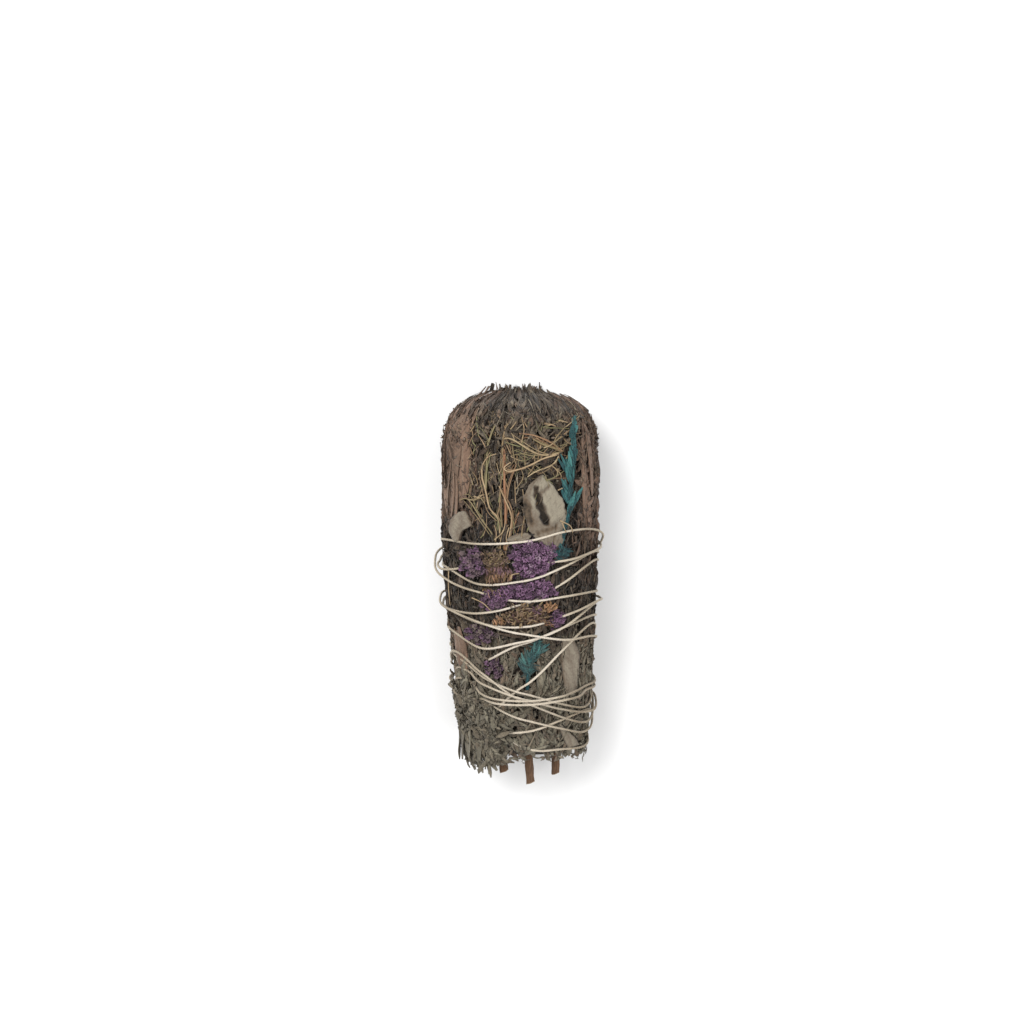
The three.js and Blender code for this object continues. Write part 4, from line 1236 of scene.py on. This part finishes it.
def strawGroup(name):
    # the group's own straws with two finer ones along part of each, its bits and its strewn stalks
    look = straws[name]
    rng = np.random.default_rng(look["seed"])
    batches = []
    for line, (radius, tone, rust, olive) in zip(look["lines"], look["looks"]):
        batches.append(straw(line, radius, tone, rust, olive))
        for strand in range(2):
            part = curveThrough(line, np.linspace(rng.uniform(0, 0.4), rng.uniform(0.6, 1), 5))
            part = part + np.cumsum(rng.normal(0, 0.5, (5, 3)), axis=0) * [1, 1, 0.3]
            batches.append(straw(part, rng.uniform(0.14, 0.26), rng.uniform(0.2, 0.8), rust, olive))
    for line in look["bits"]:
        batches.append(straw(line, 0.3, 0.75, 0.1, 0.0))
    batches += strewnStraws(rng, look["strewn"])
    addPiece("straw" + name, batches, "straw", "grass_straw", "grass_straw_" + name.lower())


for name in straws:
    strawGroup(name)
print("straws made")

# the values of each head stand in the order of staticeNames: its place, its reach, its florets, how
# high they stand, how bright and how grey they are and its share of whitish ones
statice = {
    "large": [[6, 17], [10.3, 9.8], 250, 1.5, 1.05, 0.1, 0.06],
    "middle": [[3, 2], [12, 6.6], 200, 1.5, 0.95, 0.1, 0.02],
    "left": [[-21, 14], [4.6, 6.4], 60, 2.9, 0.75, 0.7, 0.0],
    "centre_left": [[-12, -3.5], [5.6, 5], 60, 1.5, 0.85, 0.3, 0.0],
    "low_left": [[-18, -20], [6.2, 4.6], 44, 1.2, 0.65, 0.9, 0.0],
    "right": [[17.2, -13], [3.0, 4.6], 36, 1.5, 0.8, 0.3, 0.0],
    "low": [[-11.5, -36], [3.8, 4.6], 26, 1.2, 0.6, 0.9, 0.0],
}
staticeNames = ["place", "reach", "florets", "high", "tone", "grey", "white"]
# each floret ring's tone is low at the base and in the throat of the funnel: painted shade
floret = {
    "rim": (0.7, 1.7), "ring": 10, "radius": [0.3, 0.5, 0.8, 1.75, 1.3, 0.35],
    "height": [0.0, 1.0, 1.9, 3.0, 2.5, 1.3], "tone": [0.25, 0.3, 0.5, 0.85, 0.55, 0.15],
}


def floretShells(rng, x, y, height, lean, turn, size, tone, rust, grey):
    # a papery funnel, revolved from its profile, with five lobes at its rim and a lean
    rings, spokes = len(floret["radius"]), floret["ring"]
    around = np.linspace(0, 2 * np.pi, spokes, endpoint=False)[None, None, :]
    radius = np.array(floret["radius"])[None, :, None]
    level = np.array(floret["height"])[None, :, None] * shaped(size)
    spin = shaped(rng.uniform(0, 2 * np.pi, len(x)))
    rim = smooth(radius, *floret["rim"])
    lobes = 1 + 0.22 * np.cos(5 * around) * rim
    crumple = 1 + 0.2 * rng.uniform(-1, 1, (len(x), rings, spokes))
    reach = radius * lobes * crumple * shaped(size)
    ruffle = level + 0.25 * rng.uniform(-1, 1, reach.shape) * rim
    dx = reach * np.cos(around + spin) + shaped(lean * np.cos(turn)) * ruffle
    dy = reach * np.sin(around + spin) + shaped(lean * np.sin(turn)) * ruffle
    points = frontPoint(shaped(x) + dx, shaped(y) + dy, shaped(height) + ruffle)
    # tones by ring, with painted shade at the base and in the throat
    tones = np.array(floret["tone"])[None, :, None] * shaped(tone)
    return shells(points, tone=tones, rust=rust, olive=grey)


def crowd(rng, look, count):
    # places spread evenly over an oval, with how far out each is and which way
    out = np.sqrt((np.arange(count) + 0.5) / count)
    turn = np.arange(count) * np.pi * (3 - np.sqrt(5)) + rng.normal(0, 0.3, count)
    ragged = 0.92 + 0.1 * np.sin(3 * turn + look["place"][0]) + rng.normal(0, 0.05, count)
    x = look["place"][0] + look["reach"][0] * ragged * out * np.cos(turn)
    y = look["place"][1] + look["reach"][1] * ragged * out * np.sin(turn)
    return x, y, out, turn


def lowMound(place, reach, share, high):
    # a low dome under a share of a flower head's reach, closed below, kept dark as painted shade
    # beneath the florets and bracts
    around = np.linspace(0, 2 * np.pi, 24, endpoint=False)[None, :]
    up = np.linspace(-1, 1, 9)[:, None] * 0.96
    wide = np.sqrt(1 - up**2)
    points = frontPoint(
        place[0] + reach[0] * share * wide * np.cos(around),
        place[1] + reach[1] * share * wide * np.sin(around),
        high / 2 - 1.2 + (high / 2 + 1.2) * up + 0 * around,
    )
    # tone kept low: painted shade beneath the florets and bracts
    return shells(points[None], tone=0.1)


chaff = {
    "length": (0.9, 2.4), "width": (0.5, 1.2), "grid": (3, 3), "thick": 0.2, "curl": (0.2, 1.2),
    "wave": (0.0, 0.1), "wider": 1.12,
}


def staticeChaff(rng, look):
    # papery scraps and green-grey husks among the florets and just round them
    count = look["florets"] * 2
    x, y, out, turn = crowd(rng, look, count)
    x = look["place"][0] + (x - look["place"][0]) * chaff["wider"]
    y = look["place"][1] + (y - look["place"][1]) * chaff["wider"]
    shape = leafShape(rng, rng.uniform(*chaff["length"], count), chaff)
    height = look["high"] + rng.uniform(-1.1, 0.9, count) - 0.8 * out
    height = height - (height + 0.6) * pressedAt(x, y)
    heading = rng.uniform(0, 2 * np.pi, count)
    points = layOnFront(shape, x, y, height, heading, rng.uniform(-0.1, 0.8, count))
    tone = rng.uniform(-0.1, 1.2, count) * look["tone"]
    husk = rng.random(count) < 0.2 + 0.3 * out**2
    return shells(points, shape[3], tone=tone, olive=0.8 * husk)


def staticeHead(name):
    # florets over a low mound, lower, darker and leaning out towards its edge, with chaff among them
    look = dict(zip(staticeNames, statice[name]))
    rng = np.random.default_rng(50 + list(statice).index(name))
    count = look["florets"]
    x, y, out, turn = crowd(rng, look, count)
    height = look["high"] - 0.9 * out + rng.uniform(-0.9, 0.7, count)
    height = height - (height + 1.4) * pressedAt(x, y)
    lean = 0.45 * out + rng.normal(0, 0.25, count)
    size = rng.uniform(0.36, 0.76, count)
    tone = rng.uniform(0.35, 1.2, count) * look["tone"] * (1 - 0.3 * out**3)
    white = rng.random(count) < look["white"]
    grey = look["grey"] * rng.random(count)
    florets = floretShells(rng, x, y, height, lean, turn, size, tone, 0.8 * white, grey)
    mound = lowMound(look["place"], look["reach"], 0.8, look["high"] - 0.2)
    batches = [mound, florets, staticeChaff(rng, look)]
    addPiece("statice" + titled(name), batches, "statice", "statice_flower", "statice_" + name)


for name in statice:
    staticeHead(name)
print("statice made")

# each head is a low dome with rows of bracts, whose values stand in the order of bract's names: how
# many, the ranges of their roots' x and y, which way they head, how widely they turn from it, how
# steeply they rise, their sizes and tones, and their shares of orange and mauve
strawflowers = {
    "upper": {
        "place": [-11, 9.5], "reach": [8, 8.5], "seed": 61,
        "rows": [
            [150, (-18, -5), (12, 19), 1.6, 1.6, 0.55, (1.4, 3), (0.6, 1.3), (0.45, 1.1), 0.0, 0.05],
            [60, (-15.5, -4), (9.5, 13), -1.5, 0.7, 0.5, (2, 3.6), (0.5, 1.0), (0.3, 1.0), 0.3, 0.5],
            [
                40, (-16.5, -3.5), (8.5, 10.5), -1.55, 0.4, 0.3, (2.4, 4.2), (0.5, 0.9), (0.4, 1.0),
                0.55, 0.0,
            ],
            [34, (-16.5, -3.5), (7, 8.5), -1.6, 0.25, 0.1, (2.6, 4), (0.4, 0.8), (0.3, 0.9), 0.1, 0.0],
            [
                44, (-17.5, -5), (0.5, 4), -1.35, 0.35, 0.1, (2.6, 4.6), (0.4, 0.8), (0.7, 1.2), 0.25,
                0.1,
            ],
        ],
    },
    "lower": {
        "place": [4, -10.5], "reach": [12, 5.8], "seed": 62,
        "rows": [
            [190, (-8, 13), (-14.8, -5.6), 0.0, 3.1, 0.5, (2, 4.4), (0.5, 1.0), (0.1, 1.5), 0.1, 0.05],
            [54, (10.5, 15), (-9.5, -6.5), 1.2, 0.7, 0.5, (2.4, 4.0), (0.4, 0.8), (0.7, 1.3), 0.9, 0.0],
            [26, (6, 11), (-10.5, -7), 2.4, 0.8, 0.4, (1.8, 3.2), (0.7, 1.3), (0.4, 0.9), 0.1, 0.8],
            [34, (5, 14), (-15, -12.6), -0.2, 0.6, 0.4, (2, 3.4), (0.4, 0.8), (0.3, 0.8), 0.8, 0.2],
            [
                30, (-12.5, -8.5), (-14.5, -10.5), -1.2, 0.7, 0.5, (2.2, 3.6), (0.4, 0.8), (0.4, 0.9),
                0.8, 0.0,
            ],
        ],
    },
}
bract = {
    "names": [
        "count", "x", "y", "aim", "turn", "steep", "length", "width", "tones", "rust", "mauve",
    ],
    "grid": (3, 5), "thick": 0.22, "curl": (0.3, 0.9), "twist": 0.5, "roll": 0.2,
    "wave": (0.0, 0.3), "ends": (0.18, 0.78), "height": (1.2, 2.6),
}


def bractRow(rng, values):
    # stiff thin bracts from random roots over an oval's place, all headed about the same way
    row = {**bract, **dict(zip(bract["names"], values))}
    count = row["count"]
    turn = rng.uniform(0, 2 * np.pi, count)
    out = np.sqrt(rng.random(count))
    x = np.mean(row["x"]) + np.ptp(row["x"]) / 2 * out * np.cos(turn)
    y = np.mean(row["y"]) + np.ptp(row["y"]) / 2 * out * np.sin(turn)
    shape = leafShape(rng, rng.uniform(*row["length"], count), row)
    heading = row["aim"] + rng.normal(0, row["turn"] * 0.7, count)
    steep = row["steep"] + rng.normal(0, 0.25, count)
    height = rng.uniform(*row["height"], count)
    height = height - (height + 0.8) * pressedAt(x, y)
    points = layOnFront(shape, x, y, height, heading, steep)
    tone = rng.uniform(*row["tones"], count)
    rust = np.clip(row["rust"] + rng.uniform(-0.4, 0.2, count), 0, 1)
    mauve = np.clip(row["mauve"] + rng.uniform(-0.4, 0.3, count), 0, 1)
    return shells(points, shape[3], tone=tone, rust=rust, olive=mauve)


def strawflower(name):
    # a low mound under rows of bracts
    look = strawflowers[name]
    rng = np.random.default_rng(look["seed"])
    batches = [lowMound(look["place"], look["reach"], 0.85, 2.2)]
    batches += [bractRow(rng, values) for values in look["rows"]]
    title = "strawflower" + name.title()
    addPiece(title, batches, "head", "strawflower_flower", "strawflower_" + name)


for name in strawflowers:
    strawflower(name)
print("strawflowers made")

# bracts as in the solids: the share of the stem below a root, and the tip's place; then where finer
# ones crowd: from and to along the stem, how many, how long, how far they splay, how bright and how
# far to the right of the stem they stand
larkspur = {
    "upper": {
        "stem": [
            [16.4, 15.5, 0.4], [18.9, 24.5, 0.6], [22.2, 36.4, 1.1], [23.4, 54.5, 1.6],
            [23.6, 79, 2.2],
        ],
        "bracts": [
            [0.78, 21.6, 68.5], [0.79, 25.3, 69.5], [0.84, 23.7, 74.5], [0.9, 22.5, 78.5],
            [0.92, 24.9, 80], [0.72, 22.2, 66.5], [0.74, 18.4, 65.3], [0.7, 19.9, 62.5],
            [0.73, 20.9, 64.6], [0.6, 18, 53.5], [0.57, 19.4, 49.8], [0.59, 20.4, 51.6],
            [0.53, 27.3, 49.5], [0.5, 26.2, 45.8],
        ],
        "crowds": [
            [0.66, 0.97, 110, 5.5, 0.12, 0.3, 0],
            [0.0, 0.16, 90, 3.4, 1.3, 0.05, 1.8],
            [0.1, 0.3, 24, 4, 0.3, 0.0, 0.6],
            [0.25, 0.7, 80, 5, 0.1, -0.1, 0],
        ],
        "tips": 82.5, "grey": 0.0, "seed": 71,
    },
    "lower": {
        "stem": [[3.4, -47, 0.4], [3.6, -40, 0.6], [4.4, -31, 1.0], [8, -21, 1.2]],
        "bracts": [
            [0.36, -1.6, -31], [0.4, 0.5, -28], [0.45, 3, -25.5], [0.5, 6.5, -24],
            [0.62, 10, -22.5], [0.7, 12.8, -22.8],
        ],
        "crowds": [
            [0.36, 0.9, 90, 4.2, 0.7, 0.15, 1.0],
            [0.36, 0.6, 30, 4, 1.4, -0.1, 0.6],
            [0.05, 0.3, 10, 4, 0.2, 0.1, 0],
        ],
        "tips": 0.0, "grey": 0.6, "seed": 72,
    },
}
spikeLeaf = {
    "long": {"grid": (5, 9), "width": (1.6, 2.8)},
    "fine": {"grid": (4, 5), "width": (0.6, 1.4)},
    "curl": (0.5, 1.5), "twist": 0.5, "roll": 0.3, "wave": (0.05, 0.25),
}


def larkspurBracts(rng, look, share, heading, length, kind, bright, right=0.0):
    # bracts of one kind from shares of the stem, each with its heading and length
    count = len(share)
    root = curveThrough(look["stem"], share)
    root[:, 0] += right * rng.uniform(0.3, 1.7, count)
    root[:, 2] += 0.5 * right
    shape = leafShape(rng, length, {**spikeLeaf, **spikeLeaf[kind]})
    steep = rng.uniform(0.02, 0.14, count)
    points = layOnFront(shape, root[:, 0], root[:, 1], root[:, 2] + 0.2, heading, steep)
    tone = bright + rng.uniform(-0.15, 0.6, count)
    return shells(points, shape[3], tone=tone, olive=look["grey"] * rng.random(count))


def larkspurSpike(name):
    # a thin dark stem with its long folded bracts and a crowd of finer ones round them
    look = larkspur[name]
    rng = np.random.default_rng(look["seed"])
    s = np.linspace(0, 1, 50)
    path, outward = frontPath(look["stem"], s)
    batches = [tube(path, 1.0 - 0.4 * s, outward, 8, tone=0.2)]
    share, tipX, tipY = np.array(look["bracts"]).T
    x, y, height = curveThrough(look["stem"], share).T
    heading = np.arctan2(tipY - y, tipX - x)
    length = np.hypot(tipY - y, tipX - x)
    for blade in range(3):
        aside = heading + rng.normal(0, 0.14, len(share))
        size = length * (1 - 0.1 * blade)
        batches.append(larkspurBracts(rng, look, share, aside, size, "long", 0.3))
    for start, end, count, reach, splay, bright, right in look["crowds"]:
        share = rng.uniform(start, end, count)
        x, y, height = curveThrough(look["stem"], share).T
        nextX, nextY, height = curveThrough(look["stem"], share + 0.02).T
        heading = np.arctan2(nextY - y, nextX - x) + rng.normal(0, splay, count)
        length = reach * rng.uniform(0.6, 1.2, count)
        length = np.minimum(length, look["tips"] - y) if look["tips"] else length
        batches.append(larkspurBracts(rng, look, share, heading, length, "fine", bright, right))
    addPiece("larkspur" + name.title(), batches, "spike", "larkspur_flower", "larkspur_" + name)


for name in larkspur:
    larkspurSpike(name)
print("larkspur made")


def cottonString():
    # three plies round the route: a ring with three crests, turned steadily along it, and the same
    # string drawn up in a small knot with two short ends where it starts and stops
    phi, y, depth, lifts = stringRoute()
    coarse = stringPlace(phi, y, depth, lifts)
    run = np.concatenate([[0], np.cumsum(np.linalg.norm(np.diff(coarse, axis=0), axis=1))])
    places = np.linspace(0, 1, int(run[-1] / string["step"]))
    at = np.interp(places * run[-1], run, np.linspace(0, 1, len(run)))
    phi, y, depth, lifts = curveThrough(np.stack([phi, y, depth, lifts], -1), at).T
    path = stringPlace(phi, y, depth, lifts)
    middle = np.stack([centreXAt(y), y, centreZAt(y)], -1)
    turns = -places * run[-1] / string["plyTurn"] * 2 * np.pi
    profile = np.tile(string["plyProfile"], string["plies"])
    ring = len(profile)
    radius = string["radius"]
    # painted shade: the string is darker towards the left and right sides, where it turns away from the
    # light, and also darker towards the base
    tone = 0.9 - 0.5 * smooth(np.abs(path[:, 0] - 2), 9, 27) - 0.22 * smooth(-y, 24, 50)
    batches = [tube(path, radius, path - middle, ring, turns, profile, tone=tone)]
    startAngle = np.radians(string["startAngle"])
    startY = string["start"][0] + 1
    knotAt = skinPoint(startAngle, startY, string["height"] + 0.3)
    t = np.linspace(0, 2 * np.pi, 70)
    knot = [np.sin(t) + 2 * np.sin(2 * t), np.cos(t) - 2 * np.cos(2 * t), -1.1 * np.sin(3 * t)]
    loop = knotAt + np.stack(knot, -1) * radius
    turns = np.linspace(0, -22, len(t))
    batches.append(tube(loop, radius, loop - knotAt + [0, 0, 5], ring, turns, profile, tone=0.6))
    for way in (-1, 1):
        s = np.linspace(0, 1, 20)
        angle = startAngle + way * 0.1 * s + 0.05 * s**2
        end = skinPoint(angle, startY + way * 7 * s + s**2, string["height"] + 0.4 - 0.6 * s)
        batches.append(tube(end, radius, end - [0, 0, 30], ring, s * -14, profile, tone=0.6))
    print("string length", round(run[-1]), "mm")
    addPiece("cottonString", batches, "string", "cotton_string", "cotton_string")


cottonString()

setting = {
    "floor": paint(238, 238, 238), "floorSize": 3.0, "world": 0.75,
    "key": {"place": (-0.5, 0.55, 1.0), "size": 0.7, "power": 13.0},
    "fill": {"place": (0.7, -0.3, 0.9), "size": 0.9, "power": 6.0},
}
camera = {"lens": 66.5, "tilt": 4.6, "distance": 0.88, "aim": (-0.0038, 0.0377, 0.055)}


def addFloor():
    # a pale square round the origin
    half = setting["floorSize"] / 2
    mesh = bpy.data.meshes.new("floor")
    corners = [(-half, -half, 0), (half, -half, 0), (half, half, 0), (-half, half, 0)]
    mesh.from_pydata(corners, [], [(0, 1, 2, 3)])
    make = FinishMaker("paleFloor")
    grain = make.noise(300.0, 2.0)
    mesh.materials.append(make.finish(setting["floor"], 0.85, grain, 0.00002))
    floor = newObject("floor", mesh)


def addLight(name):
    # a soft square lamp that points at the origin
    look = setting[name]
    data = bpy.data.lights.new(name, "AREA")
    data.size = look["size"]
    data.energy = look["power"]
    light = newObject(name, data)
    light.location = look["place"]
    light.rotation_euler = Vector(look["place"]).to_track_quat("Z", "Y").to_euler()


def addCamera():
    # straight over the aim, then swung by the tilt towards the bundle's top
    tilt = np.radians(camera["tilt"])
    data = bpy.data.cameras.new("photoCamera")
    data.lens = camera["lens"]
    data.clip_start = 0.01
    seen = newObject("photoCamera", data)
    back = camera["distance"] * np.array([0, np.sin(tilt), np.cos(tilt)])
    seen.location = np.array(camera["aim"]) + back
    seen.rotation_euler = (-tilt, 0, 0)
    bpy.context.scene.camera = seen


addFloor()
addLight("key")
addLight("fill")
addCamera()
world = bpy.data.worlds.new("studio")
world.use_nodes = True
world.node_tree.nodes["Background"].inputs["Color"].default_value = (1, 1, 1, 1)
world.node_tree.nodes["Background"].inputs["Strength"].default_value = setting["world"]
bpy.context.scene.world = world
bpy.context.scene.view_settings.view_transform = "Standard"
print("floor, light and camera set")
